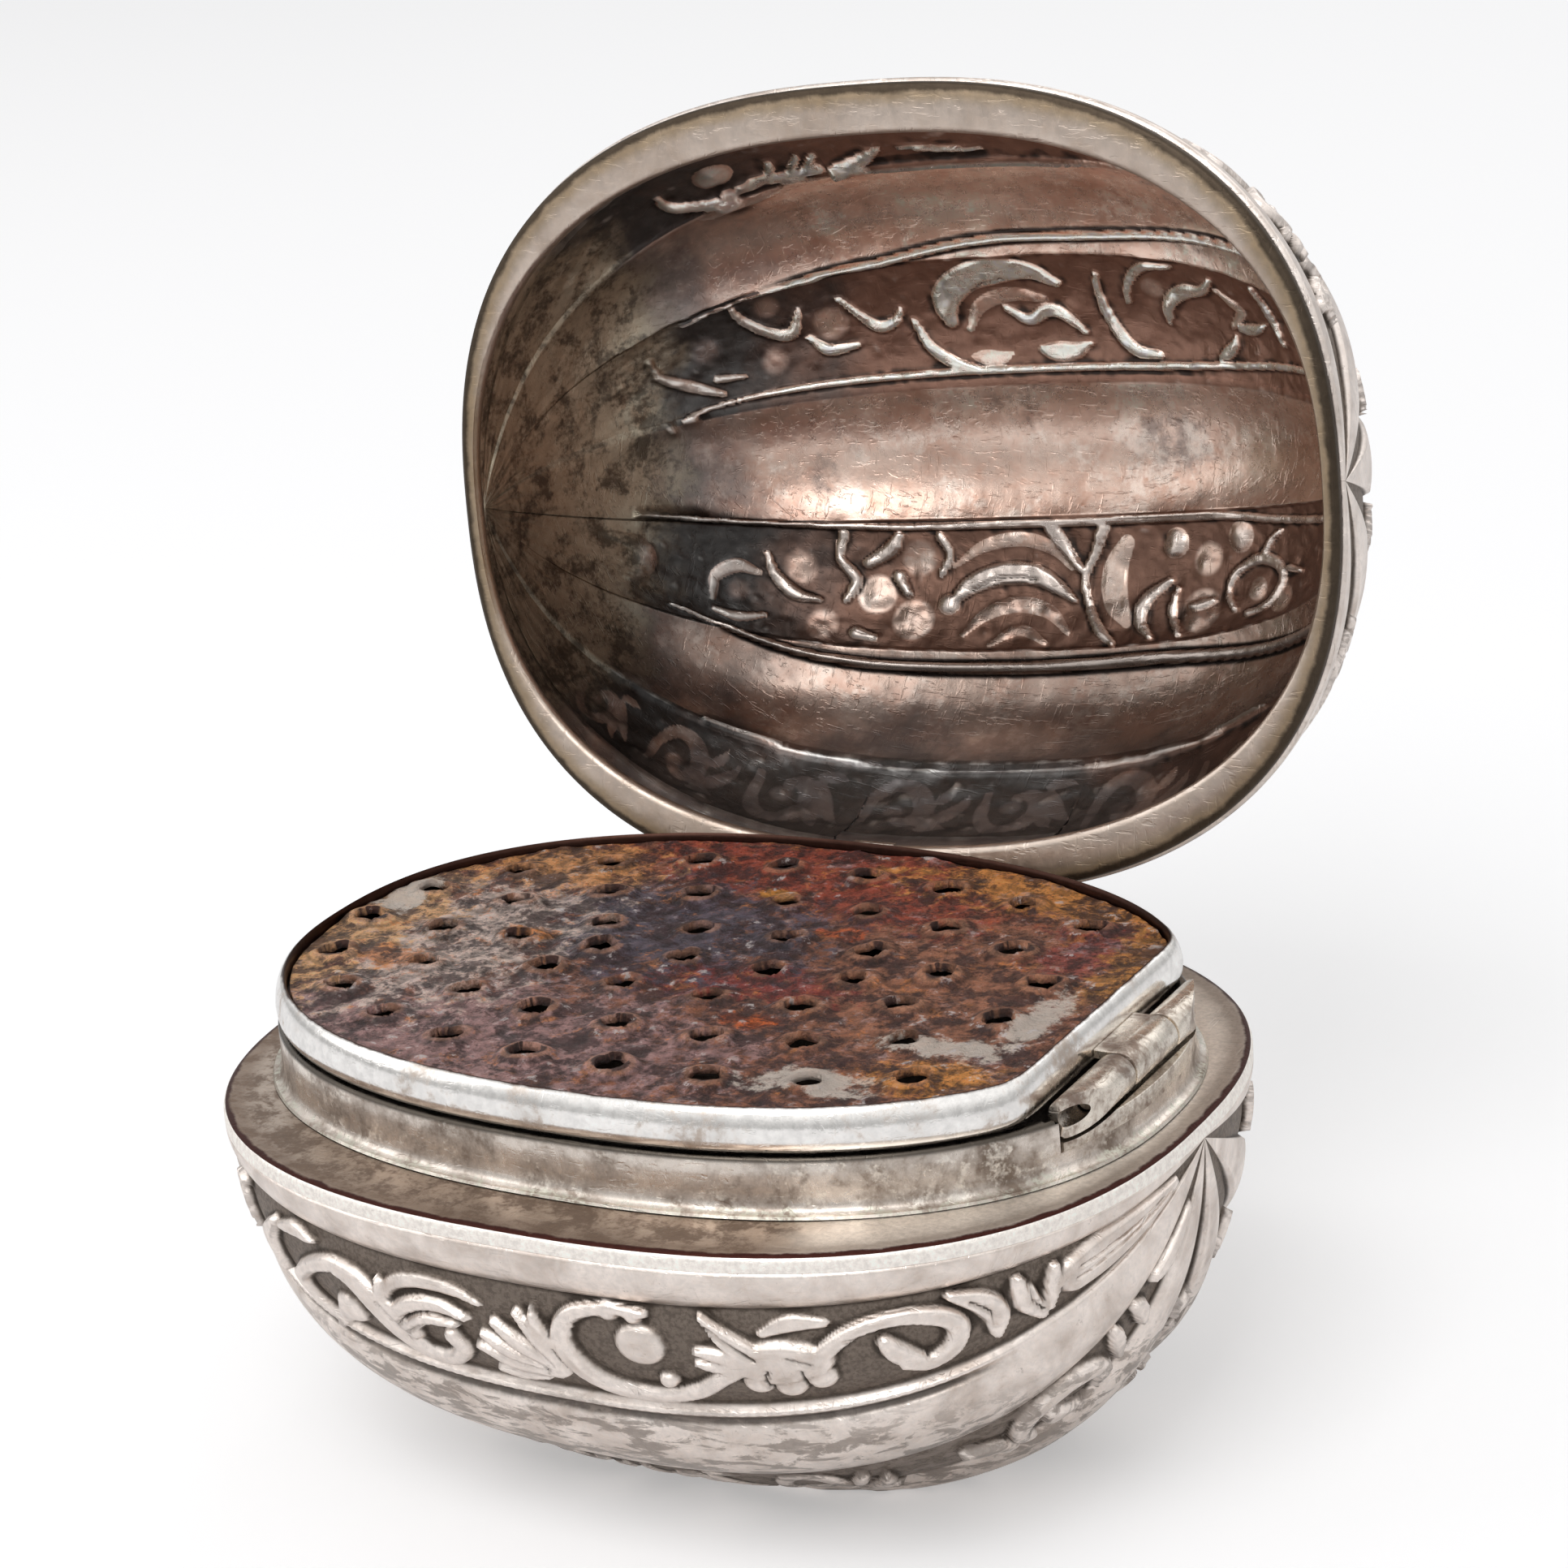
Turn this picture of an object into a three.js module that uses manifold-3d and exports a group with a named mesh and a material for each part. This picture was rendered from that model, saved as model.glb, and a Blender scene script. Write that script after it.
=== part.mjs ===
// A pocket nutmeg grater in the form of a nut. Two lobed half shells meet on a plane through their
// poles. The lower one keeps the nutmeg under a hinged, punched grater plate, and the upper one is
// a lid that stands open behind it on a hinge of its own.
// Millimetres and degrees. X runs from pole to pole, -Y faces the front, +Y the lid's hinge and +Z
// is up. The origin is the centre of the flat foot, and the rim plane is the top of the ledge.
import * as THREE from "three";
import { mergeVertices } from "three/addons/utils/BufferGeometryUtils.js";
import Module from "manifold-3d";

// The nut: both shells share its outline in plan
const nutHalfLength = 20;
const nutHalfWidth = 17.2;
const nutPower = 2.46;
const baseDepth = 16.1;
const lidDepth = 16.4;
const baseWall = 1.5;
const baseFloor = 1.6;
const lidWall = 0.5;
const footCut = 1.8;

// Its furrows, as angles round the poles from each rim to the middle of the shell. They part
// plain lobes from carved bands, in turn, and both rims cut through a lobe
const baseFurrows = [6.2, 26.2, 46, 65.5, 83];
const lidFurrows = [11.25, 33.75, 56.25, 78.75];
const lobeRise = 0.55;
const bandRise = 0.3;
const lobeFade = 0.6;

// The ledge on the lower shell, and the collar and grater frame that stand on it
const ledgeThickness = 0.7;
const ledgeChamfer = 0.2;
const ledgeEndWidth = 1.5;
const ledgeSideWidth = 3.34;
const collarPower = 2.3;
const collarShift = -0.1;
const collarHeight = 2.22;
const collarWall = 0.5;
const collarFillet = 0.35;
const frameSeam = 0.15;
const frameHeight = 1.71;
const frameLip = 0.5;
const frameRounding = 0.18;
const frameShelf = 1.3;
const frameChordSetback = 2.1;

// The grater plate and its punched holes
const plateThickness = 0.5;
const plateRecess = 0.3;
const plateClearance = 0.12;
const holeRadius = 0.5;
const burrRadius = 0.9;
const burrTopRadius = 0.68;
const burrHeight = 0.28;
const holePitch = 3.8;
const holeRowPitch = 3.6;
const holeEndMargin = 1.15;
const holeSideMargin = 2.85;
const holeSides = 6;

// The grater's hinge, across the +X end
const graterPivotSetback = 1.0;
const graterPivotHeight = 2.2;
const graterBarrelRadius = 0.8;
const graterPinRadius = 0.3;
const graterPinInset = 0.6;
const graterBarrelHalfLength = 6.1;
const frameKnuckleHalfLength = 1.9;
const frameKnuckleShift = 0.4;
const gutterClearance = 0.15;
const gutterLipHeight = 1.6;
const gutterFloor = 0.35;

// The lid's flange and hinge; the old hinge is worn, so its axis is a few degrees askew in plan
const flangeThickness = 0.6;
const flangeInset = 0.15;
const flangeEndWidth = 0.85;
const flangeSideWidth = 2.2;
const flangePower = 2.4;
const lidGap = 0.2;
const lidSeam = 0.1;
const lidHingeInset = 0.55;
const lidHingeHeight = 1.3;
const lidHingeSkew = 4.07;
const lidOpening = 97.17;
const lidBarrelRadius = 0.85;
const lidBarrelHalfLength = 5;
const lidKnuckleCount = 5;
const lidPinRadius = 0.35;
const lidNotchClearance = 0.25;
const leafThickness = 0.4;
const leafLength = 1.55;
const footHalfWidth = 0.5;

// Running clearances of both hinges
const knuckleGap = 0.15;
const boreClearance = 0.07;

// Facets
const shellSteps = 24;
const stepsPerGore = 4;
const cavitySteps = 12;
const ringSteps = 72;
const barrelSteps = 20;

// The collar's outline, and the straight end of the frame at the hinge
const collarHalfLength = nutHalfLength - ledgeEndWidth;
const collarHalfWidth = nutHalfWidth - ledgeSideWidth;
const frameChord = collarHalfLength + collarShift - frameChordSetback;

// Heights above the rim plane
const standHeight = ledgeThickness + baseDepth - footCut;
const frameBottom = collarHeight + frameSeam;
const frameTop = frameBottom + frameHeight;
const plateTop = frameTop - plateRecess;
const shelfTop = plateTop - plateThickness;
const flangeTop = lidGap + flangeThickness;
const lidShellBottom = flangeTop + lidSeam;

// Hinge places
const graterPivotX = frameChord + graterPivotSetback;
const gutterRadius = graterBarrelRadius + gutterClearance;
const gutterBottom = graterPivotHeight - gutterRadius - gutterFloor;
const gutterInnerX = frameChord - gutterClearance;
const lidHinge = new THREE.Vector3(0, nutHalfWidth - lidHingeInset, lidHingeHeight);

const radians = THREE.MathUtils.degToRad;

// Closed surfaces and booleans
const wasm = await Module();
wasm.setup();

function sharedCorners(geometry) {
  const bare = new THREE.BufferGeometry();
  const source = geometry.index ? geometry.toNonIndexed() : geometry;
  bare.setAttribute("position", source.getAttribute("position"));
  return mergeVertices(bare, 1e-4);
}

function solid(geometry) {
  const merged = sharedCorners(geometry);
  const mesh = new wasm.Mesh({
    numProp: 3,
    vertProperties: merged.attributes.position.array,
    triVerts: new Uint32Array(merged.index.array),
  });
  return new wasm.Manifold(mesh);
}

function geometryOf(body) {
  const mesh = body.getMesh();
  const geometry = new THREE.BufferGeometry();
  geometry.setAttribute("position", new THREE.BufferAttribute(new Float32Array(mesh.vertProperties), 3));
  geometry.setIndex(new THREE.BufferAttribute(new Uint32Array(mesh.triVerts), 1));
  return geometry;
}

// Gathers triangles by their corner points, and leaves out those that a pole shrinks to a line
class Surface {
  constructor() {
    this.numbers = [];
  }

  triangle(a, b, c) {
    const same = (p, q) => Math.hypot(p[0] - q[0], p[1] - q[1], p[2] - q[2]) < 1e-5;
    if (same(a, b) || same(b, c) || same(c, a)) return;
    this.numbers.push(...a, ...b, ...c);
  }

  // Rows of points with as many points each; flipped turns the sheet's outside round
  sheet(rows, flipped) {
    for (let i = 1; i < rows.length; i++) {
      for (let j = 1; j < rows[i].length; j++) {
        const [a, b, c, d] = [rows[i - 1][j - 1], rows[i][j - 1], rows[i][j], rows[i - 1][j]];
        if (flipped) {
          this.triangle(a, d, c);
          this.triangle(a, c, b);
        } else {
          this.triangle(a, b, c);
          this.triangle(a, c, d);
        }
      }
    }
  }

  geometry() {
    const geometry = new THREE.BufferGeometry();
    geometry.setAttribute("position", new THREE.Float32BufferAttribute(this.numbers, 3));
    return sharedCorners(geometry);
  }
}

// Outlines in plan, as functions that move the outline outwards by an offset
function signedPower(value, power) {
  return Math.sign(value) * Math.abs(value) ** power;
}

function ovalPoint(halfX, halfY, power, centreX, angle) {
  const x = centreX + halfX * signedPower(Math.cos(angle), 2 / power);
  const y = halfY * signedPower(Math.sin(angle), 2 / power);
  return [x, y];
}

function oval(halfX, halfY, power, centreX) {
  return (offset) =>
    Array.from({ length: ringSteps }, (_, step) => {
      const angle = (2 * Math.PI * step) / ringSteps;
      return ovalPoint(halfX + offset, halfY + offset, power, centreX, angle);
    });
}

// The same oval with a straight chord across its +X end
function choppedOval(halfX, halfY, power, centreX, chordX) {
  return (offset) => {
    const reach = (chordX + offset - centreX) / (halfX + offset);
    const first = Math.acos(reach ** (power / 2));
    return Array.from({ length: ringSteps + 1 }, (_, step) => {
      const angle = first + ((2 * Math.PI - 2 * first) * step) / ringSteps;
      return ovalPoint(halfX + offset, halfY + offset, power, centreX, angle);
    });
  };
}

const rimOutline = oval(nutHalfLength, nutHalfWidth, nutPower, 0);
const collarOutline = oval(collarHalfLength, collarHalfWidth, collarPower, collarShift);
const frameOutline = choppedOval(
  collarHalfLength, collarHalfWidth, collarPower, collarShift, frameChord,
);
const flangeMouth = oval(
  nutHalfLength - flangeEndWidth, nutHalfWidth - flangeSideWidth, flangePower, 0,
);

// A band round an outline: its section is a list of outlines and heights, up the outside first
function band(section) {
  const rows = section.map(([outline, z]) => {
    const points = outline.map(([x, y]) => [x, y, z]);
    return [...points, points[0]];
  });
  const surface = new Surface();
  surface.sheet([...rows, rows[0]], true);
  return surface.geometry();
}

// A flat plate or prism with an outline in plan
function prism(outline, bottom, top) {
  const shape = new THREE.Shape(outline.map(([x, y]) => new THREE.Vector2(x, y)));
  const geometry = new THREE.ExtrudeGeometry(shape, { depth: top - bottom, bevelEnabled: false });
  return geometry.translate(0, 0, bottom);
}

function box(low, high) {
  const size = high.map((value, axis) => value - low[axis]);
  const centre = high.map((value, axis) => (value + low[axis]) / 2);
  return new THREE.BoxGeometry(...size).translate(...centre);
}

// A profile drawn across a hinge, extruded along it: X and Z across one that runs along Y
function alongY(shape, from, to) {
  const geometry = new THREE.ExtrudeGeometry(shape, { depth: to - from, bevelEnabled: false });
  return geometry.rotateX(Math.PI / 2).translate(0, to, 0);
}

// Y and Z across one that runs along X
function alongX(shape, from, to) {
  const geometry = new THREE.ExtrudeGeometry(shape, { depth: to - from, bevelEnabled: false });
  const turn = new THREE.Matrix4().makeBasis(
    new THREE.Vector3(0, 1, 0), new THREE.Vector3(0, 0, 1), new THREE.Vector3(1, 0, 0),
  );
  return geometry.applyMatrix4(turn).translate(from, 0, 0);
}

function circlePoints(radius, centreX, centreY, from, to, steps) {
  return Array.from({ length: steps + 1 }, (_, step) => {
    const angle = from + ((to - from) * step) / steps;
    return new THREE.Vector2(centreX + radius * Math.cos(angle), centreY + radius * Math.sin(angle));
  });
}

function disc(radius, centreX, centreY) {
  const points = circlePoints(radius, centreX, centreY, 0, 2 * Math.PI, barrelSteps);
  return new THREE.Shape(points.slice(0, barrelSteps));
}

// The gores that furrows cut half a nut into, as pairs of angles. The first and the last are the
// halves of lobes that the rims cut, so they reach as far past the rims
function goresBetween(furrows) {
  const back = furrows.map((angle) => 180 - angle).reverse();
  const edges = [-furrows[0], ...furrows, ...back, 180 + furrows[0]];
  return edges.slice(1).map((edge, index) => [edges[index], edge]);
}

// Angles round the poles with how far the surface lies below the lobes' crests at each
function lobedAngles(furrows) {
  const points = goresBetween(furrows).flatMap(([from, to], gore) => {
    const rise = gore % 2 === 0 ? lobeRise : bandRise;
    return Array.from({ length: stepsPerGore }, (_, step) => {
      const across = (2 * step) / stepsPerGore - 1;
      const angle = from + ((to - from) * step) / stepsPerGore;
      return [radians(angle), lobeRise - rise * (1 - across * across)];
    });
  });
  return points.slice(stepsPerGore / 2, 1 - stepsPerGore / 2);
}

function plainAngles(steps) {
  return Array.from({ length: steps + 1 }, (_, step) => [(Math.PI * step) / steps, 0]);
}

// Rows of points over half a nut, from pole to pole and from the front rim to the back one
function nutRows(halfLength, halfWidth, depth, rimZ, upward, angles) {
  return Array.from({ length: shellSteps + 1 }, (_, row) => {
    const along = -Math.PI / 2 + (Math.PI * row) / shellSteps;
    const x = halfLength * signedPower(Math.sin(along), 2 / nutPower);
    const girth = row % shellSteps === 0 ? 0 : Math.cos(along) ** (2 / nutPower);
    return angles.map(([around, furrowDepth], column) => {
      const sink = furrowDepth * Math.min(1, girth / lobeFade);
      const lift = column % (angles.length - 1) === 0 ? 0 : Math.sin(around);
      const y = -(halfWidth * girth - sink) * Math.cos(around);
      return [x, y, rimZ + upward * (depth * girth - sink) * lift];
    });
  });
}

// A half shell: outer sheet, inner sheet and the flat rim between them
function halfShell(outer, inner, opensUpward) {
  const surface = new Surface();
  surface.sheet(outer, opensUpward);
  surface.sheet(inner, !opensUpward);
  const rim = (rows, column) => rows.map((points) => points.at(column));
  surface.sheet([rim(outer, 0), rim(inner, 0)], opensUpward);
  surface.sheet([rim(inner, -1), rim(outer, -1)], opensUpward);
  return surface.geometry();
}

function lowerShell() {
  const rimZ = -ledgeThickness;
  const angles = lobedAngles(baseFurrows);
  const outer = nutRows(nutHalfLength, nutHalfWidth, baseDepth, rimZ, -1, angles);
  const inner = nutRows(
    nutHalfLength - baseWall, nutHalfWidth - baseWall, baseDepth - footCut - baseFloor,
    rimZ, -1, plainAngles(cavitySteps),
  );
  const below = box(
    [-nutHalfLength, -nutHalfWidth, -2 * standHeight],
    [nutHalfLength, nutHalfWidth, -standHeight],
  );
  return geometryOf(solid(halfShell(outer, inner, true)).subtract(solid(below)));
}

function ledge() {
  const mouth = collarOutline(-collarWall);
  return band([
    [rimOutline(0), -ledgeThickness],
    [rimOutline(0), -ledgeChamfer],
    [rimOutline(-ledgeChamfer), 0],
    [mouth, 0],
    [mouth, -ledgeThickness],
  ]);
}

// The space that the hinge gutter takes out of the collar, up through its top
function gutterSpace(clearance) {
  return box(
    [gutterInnerX - clearance, -graterBarrelHalfLength - clearance, gutterBottom],
    [nutHalfLength, graterBarrelHalfLength + clearance, frameTop],
  );
}

function collar() {
  const ring = band([
    [collarOutline(collarFillet), 0],
    [collarOutline(0), collarFillet],
    [collarOutline(0), collarHeight],
    [collarOutline(-collarWall), collarHeight],
    [collarOutline(-collarWall), 0],
  ]);
  return geometryOf(solid(ring).subtract(solid(gutterSpace(gutterClearance))));
}

function insideCollarOutline(geometry) {
  const outline = prism(collarOutline(0), -ledgeThickness, frameTop);
  return geometryOf(solid(geometry).intersect(solid(outline)));
}

// The half-round trough that the grater's barrel lies in, set on the collar's lowered end
function hingeGutter() {
  const block = gutterSpace(0);
  const above = box(
    [0, -nutHalfWidth, gutterLipHeight],
    [nutHalfLength + nutHalfWidth, nutHalfWidth, frameTop + gutterLipHeight],
  );
  const trough = alongY(
    disc(gutterRadius, graterPivotX, graterPivotHeight), -nutHalfWidth, nutHalfWidth,
  );
  const carved = solid(block).subtract(solid(above)).subtract(solid(trough));
  return insideCollarOutline(geometryOf(carved));
}

function graterKnuckleShape() {
  const shape = disc(graterBarrelRadius, graterPivotX, graterPivotHeight);
  const bore = disc(graterPinRadius + boreClearance, graterPivotX, graterPivotHeight);
  shape.holes.push(bore);
  return shape;
}

const frameKnuckleFrom = frameKnuckleShift - frameKnuckleHalfLength;
const frameKnuckleTo = frameKnuckleShift + frameKnuckleHalfLength;

function collarKnuckle(from, to) {
  return insideCollarOutline(alongY(graterKnuckleShape(), from, to));
}

// The frame's knuckle: a barrel with a strap that runs from its top to the frame's straight wall
function frameKnuckle() {
  const strap = new THREE.Shape([
    new THREE.Vector2(frameChord, frameBottom),
    new THREE.Vector2(graterPivotX, frameBottom),
    new THREE.Vector2(graterPivotX, graterPivotHeight + graterBarrelRadius),
    new THREE.Vector2(frameChord, graterPivotHeight + graterBarrelRadius),
  ]);
  const bore = alongY(
    disc(graterPinRadius + boreClearance, graterPivotX, graterPivotHeight),
    frameKnuckleFrom - 1, frameKnuckleTo + 1,
  );
  const barrel = alongY(
    disc(graterBarrelRadius, graterPivotX, graterPivotHeight), frameKnuckleFrom, frameKnuckleTo,
  );
  const joined = solid(barrel).add(solid(alongY(strap, frameKnuckleFrom, frameKnuckleTo)));
  return geometryOf(joined.subtract(solid(bore)));
}

function graterHingePin() {
  const [, reach] = pinReach();
  return alongY(disc(graterPinRadius, graterPivotX, graterPivotHeight), -reach, reach);
}

// How far the pin can run each way before it would pass the collar's outline
function pinReach() {
  const edge = graterPivotX + graterPinRadius - collarShift;
  const share = Math.min(1, edge / collarHalfLength) ** collarPower;
  const reach = collarHalfWidth * (1 - share) ** (1 / collarPower) - graterPinInset;
  return [-reach, Math.max(reach, frameKnuckleTo)];
}

function graterFrame() {
  return band([
    [frameOutline(0), frameBottom],
    [frameOutline(0), frameTop - frameRounding],
    [frameOutline(-frameRounding), frameTop],
    [frameOutline(-frameLip), frameTop],
    [frameOutline(-frameLip), shelfTop],
    [frameOutline(-frameShelf), shelfTop],
    [frameOutline(-frameShelf), frameBottom],
  ]);
}

// Points at even distances round a closed outline
function evenlyRound(outline, pitch) {
  const lengths = outline.map(([x, y], index) => {
    const [nextX, nextY] = outline[(index + 1) % outline.length];
    return Math.hypot(nextX - x, nextY - y);
  });
  const total = lengths.reduce((sum, length) => sum + length, 0);
  const count = Math.round(total / pitch);
  return Array.from({ length: count }, (_, step) => {
    let left = (total * (step + 0.5)) / count;
    let index = 0;
    while (left > lengths[index]) {
      left -= lengths[index];
      index += 1;
    }
    const share = left / lengths[index];
    const [x, y] = outline[index];
    const [nextX, nextY] = outline[(index + 1) % outline.length];
    return [x + share * (nextX - x), y + share * (nextY - y)];
  });
}

// Rows of holes that follow the plate's oval inwards, and one straight row along its middle
function holeCentres() {
  const plateHalfLength = collarHalfLength - frameLip - plateClearance;
  const plateHalfWidth = collarHalfWidth - frameLip - plateClearance;
  const centres = [];
  let halfX = plateHalfLength - holeEndMargin;
  let halfY = plateHalfWidth - holeSideMargin;
  while (halfY > holeRowPitch / 2) {
    centres.push(...evenlyRound(oval(halfX, halfY, collarPower, collarShift)(0), holePitch));
    halfX -= holeRowPitch;
    halfY -= holeRowPitch;
  }
  const middleCount = Math.max(1, Math.floor((2 * halfX) / holePitch) + 1);
  for (let index = 0; index < middleCount; index++) {
    centres.push([collarShift + (index - (middleCount - 1) / 2) * holePitch, 0]);
  }
  const farthestX = frameChord - frameLip - plateClearance - 2 * burrRadius;
  return centres.filter(([x]) => x < farthestX);
}

function uprightPrism(bottomRadius, topRadius, bottom, top, x, y) {
  const geometry = new THREE.CylinderGeometry(topRadius, bottomRadius, top - bottom, holeSides);
  return geometry.rotateX(Math.PI / 2).translate(x, y, (bottom + top) / 2);
}

function graterPlate() {
  let plate = solid(prism(frameOutline(-frameLip - plateClearance), shelfTop, plateTop));
  const centres = holeCentres();
  const slope = (burrRadius - burrTopRadius) / burrHeight;
  const root = plateThickness / 2;
  for (const [x, y] of centres) {
    const burr = uprightPrism(
      burrRadius + slope * root, burrTopRadius, plateTop - root, plateTop + burrHeight, x, y,
    );
    plate = plate.add(solid(burr));
  }
  for (const [x, y] of centres) {
    const hole = uprightPrism(
      holeRadius, holeRadius, shelfTop - plateThickness, frameTop + plateThickness, x, y,
    );
    plate = plate.subtract(solid(hole));
  }
  return geometryOf(plate);
}

// The notch that both hinge halves share, cut from the lid's rim on the hinge's own axes
function cutForHinge(geometry) {
  const reach = lidBarrelHalfLength + lidNotchClearance;
  const drop = lidBarrelRadius + lidNotchClearance;
  const notch = box([-reach, -drop, -2 * nutHalfWidth], [reach, nutHalfWidth, drop]);
  notch.rotateZ(radians(lidHingeSkew)).translate(...lidHinge.toArray());
  return geometryOf(solid(geometry).subtract(solid(notch)));
}

function lidShell() {
  const angles = lobedAngles(lidFurrows);
  const sizes = [nutHalfLength, nutHalfWidth, lidDepth];
  const outer = nutRows(...sizes, lidShellBottom, 1, angles);
  const innerSizes = sizes.map((size) => size - lidWall);
  const inner = nutRows(...innerSizes, lidShellBottom, 1, angles);
  return cutForHinge(halfShell(outer, inner, false));
}

function lidFlange() {
  return cutForHinge(band([
    [rimOutline(-flangeInset), lidGap],
    [rimOutline(-flangeInset), flangeTop],
    [flangeMouth(0), flangeTop],
    [flangeMouth(0), lidGap],
  ]));
}

// The lid's knuckles lie round the hinge's own axis; each is a barrel with a foot or a leaf
const lidKnuckleLength =
  (2 * lidBarrelHalfLength - (lidKnuckleCount - 1) * knuckleGap) / lidKnuckleCount;

function lidKnuckle(index, arm) {
  const from = -lidBarrelHalfLength + index * (lidKnuckleLength + knuckleGap);
  const to = from + lidKnuckleLength;
  const barrel = alongX(disc(lidBarrelRadius, 0, 0), from, to);
  const bore = alongX(disc(lidPinRadius + boreClearance, 0, 0), from - 1, to + 1);
  const [low, high] = arm;
  const joined = solid(barrel).add(solid(box([from, ...low], [to, ...high])));
  return geometryOf(joined.subtract(solid(bore)));
}

const baseFoot = [[-footHalfWidth, -lidHingeHeight], [footHalfWidth, 0]];
const leafBottom = flangeTop + lidSeam - lidHingeHeight;
const lidLeaf = [[-leafLength, leafBottom], [0, leafBottom + leafThickness]];

function lidHingePin() {
  return alongX(disc(lidPinRadius, 0, 0), -lidBarrelHalfLength, lidBarrelHalfLength);
}

// Finishes
function finish(color, roughness, metalness) {
  return () => new THREE.MeshStandardMaterial({ color, roughness, metalness });
}

const carvedSilver = finish(0xa9a59b, 0.35, 1);
const ledgeSilver = finish(0xb9b3a4, 0.3, 1);
const collarSilver = finish(0x9c968a, 0.4, 1);
const brightSilver = finish(0xd8d4ca, 0.2, 1);
const hingeSilver = finish(0xaaa496, 0.35, 1);
const pinSteel = finish(0x6d675f, 0.5, 1);
const rustyIron = finish(0x6b3a28, 0.85, 0.3);
const lidFlangeSilver = finish(0xa89c8c, 0.35, 1);

function piece(name, geometry, material) {
  const mesh = new THREE.Mesh(geometry, material());
  mesh.name = name;
  return mesh;
}

// Assembly
const grater = new THREE.Group();
const nut = new THREE.Group();
nut.position.z = standHeight;
grater.add(nut);

nut.add(
  piece("lower_shell", lowerShell(), carvedSilver),
  piece("base_ledge", ledge(), ledgeSilver),
  piece("collar", collar(), collarSilver),
  piece("hinge_gutter", hingeGutter(), hingeSilver),
  piece(
    "collar_knuckle_front",
    collarKnuckle(-graterBarrelHalfLength, frameKnuckleFrom - knuckleGap),
    hingeSilver,
  ),
  piece(
    "collar_knuckle_back",
    collarKnuckle(frameKnuckleTo + knuckleGap, graterBarrelHalfLength),
    hingeSilver,
  ),
  piece("grater_hinge_pin", graterHingePin(), pinSteel),
);

const platform = new THREE.Group();
platform.add(
  piece("grater_frame", graterFrame(), brightSilver),
  piece("grater_plate", graterPlate(), rustyIron),
  piece("frame_knuckle", frameKnuckle(), hingeSilver),
);
nut.add(platform);

const hingeLine = new THREE.Group();
hingeLine.position.copy(lidHinge);
hingeLine.rotation.z = radians(lidHingeSkew);
nut.add(hingeLine);

const swing = new THREE.Group();
swing.rotation.x = -radians(lidOpening);
hingeLine.add(swing);

const closedLid = new THREE.Group();
closedLid.rotation.z = -radians(lidHingeSkew);
closedLid.position.copy(lidHinge).negate().applyEuler(closedLid.rotation);
swing.add(closedLid);

closedLid.add(
  piece("lid_shell", lidShell(), carvedSilver),
  piece("lid_flange", lidFlange(), lidFlangeSilver),
);

for (let index = 0; index < lidKnuckleCount; index++) {
  const onBase = index % 2 === 0;
  const name = (onBase ? "base_knuckle_" : "lid_knuckle_") + (Math.floor(index / 2) + 1);
  const knuckle = piece(name, lidKnuckle(index, onBase ? baseFoot : lidLeaf), hingeSilver);
  (onBase ? hingeLine : swing).add(knuckle);
}
hingeLine.add(piece("lid_hinge_pin", lidHingePin(), pinSteel));

export default grater;
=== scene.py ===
# %% [markdown]
# # A pocket nutmeg grater in silver
# The object is a little box in the form of a nut. Its lower shell keeps a nutmeg under a hinged,
# punched iron plate, and its upper shell is a lid that stands open behind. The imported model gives
# the size and the place of every part. This lesson gives each part its worked surface and finish.
# The first cell loads the model and keeps its box, because nothing may grow out of it.

# %% Load the model
import math

import bpy
import numpy as np
from mathutils import Matrix, Vector


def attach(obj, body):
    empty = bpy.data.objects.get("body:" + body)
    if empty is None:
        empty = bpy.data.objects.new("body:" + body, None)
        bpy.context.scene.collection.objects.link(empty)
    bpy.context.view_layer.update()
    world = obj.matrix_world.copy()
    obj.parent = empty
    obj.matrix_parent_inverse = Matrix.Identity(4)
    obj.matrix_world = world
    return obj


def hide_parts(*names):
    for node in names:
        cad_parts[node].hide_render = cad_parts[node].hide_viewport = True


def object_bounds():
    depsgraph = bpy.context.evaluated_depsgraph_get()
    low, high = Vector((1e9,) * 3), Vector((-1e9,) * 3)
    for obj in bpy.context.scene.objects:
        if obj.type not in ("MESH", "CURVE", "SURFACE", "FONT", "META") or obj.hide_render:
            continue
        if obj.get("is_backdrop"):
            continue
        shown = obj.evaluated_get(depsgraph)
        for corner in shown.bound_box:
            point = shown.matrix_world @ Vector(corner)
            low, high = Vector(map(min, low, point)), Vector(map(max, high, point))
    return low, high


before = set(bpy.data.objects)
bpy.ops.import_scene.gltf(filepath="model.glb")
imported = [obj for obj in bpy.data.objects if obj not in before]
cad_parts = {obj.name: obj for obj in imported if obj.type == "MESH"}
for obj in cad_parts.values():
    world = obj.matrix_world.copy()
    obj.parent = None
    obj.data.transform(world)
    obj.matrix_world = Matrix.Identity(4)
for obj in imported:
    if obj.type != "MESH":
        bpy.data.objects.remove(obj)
cad_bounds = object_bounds()

# %% [markdown]
# ## Measures
# A silversmith's drawing has few numbers, and these are the drawing's: the nut's outline, the
# furrows, the collar, the frame and the two hinges, in millimetres and degrees. Heights count from
# the rim plane, the flat top of the ledge. Blender works in metres, so points are scaled at the end.

# %% Name the drawing's numbers
MM = 0.001
rim_height = 15.0

nut_half_length, nut_half_width, nut_power = 20.0, 17.2, 2.46
base_depth, lid_depth = 16.1, 16.4
base_rim, lid_rim = -0.7, 0.9
foot_level = -15.0
lobe_rise, band_rise, lobe_fade = 0.55, 0.3, 0.6
base_furrows = [6.2, 26.2, 46, 65.5, 83]
lid_furrows = [11.25, 33.75, 56.25, 78.75]

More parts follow.
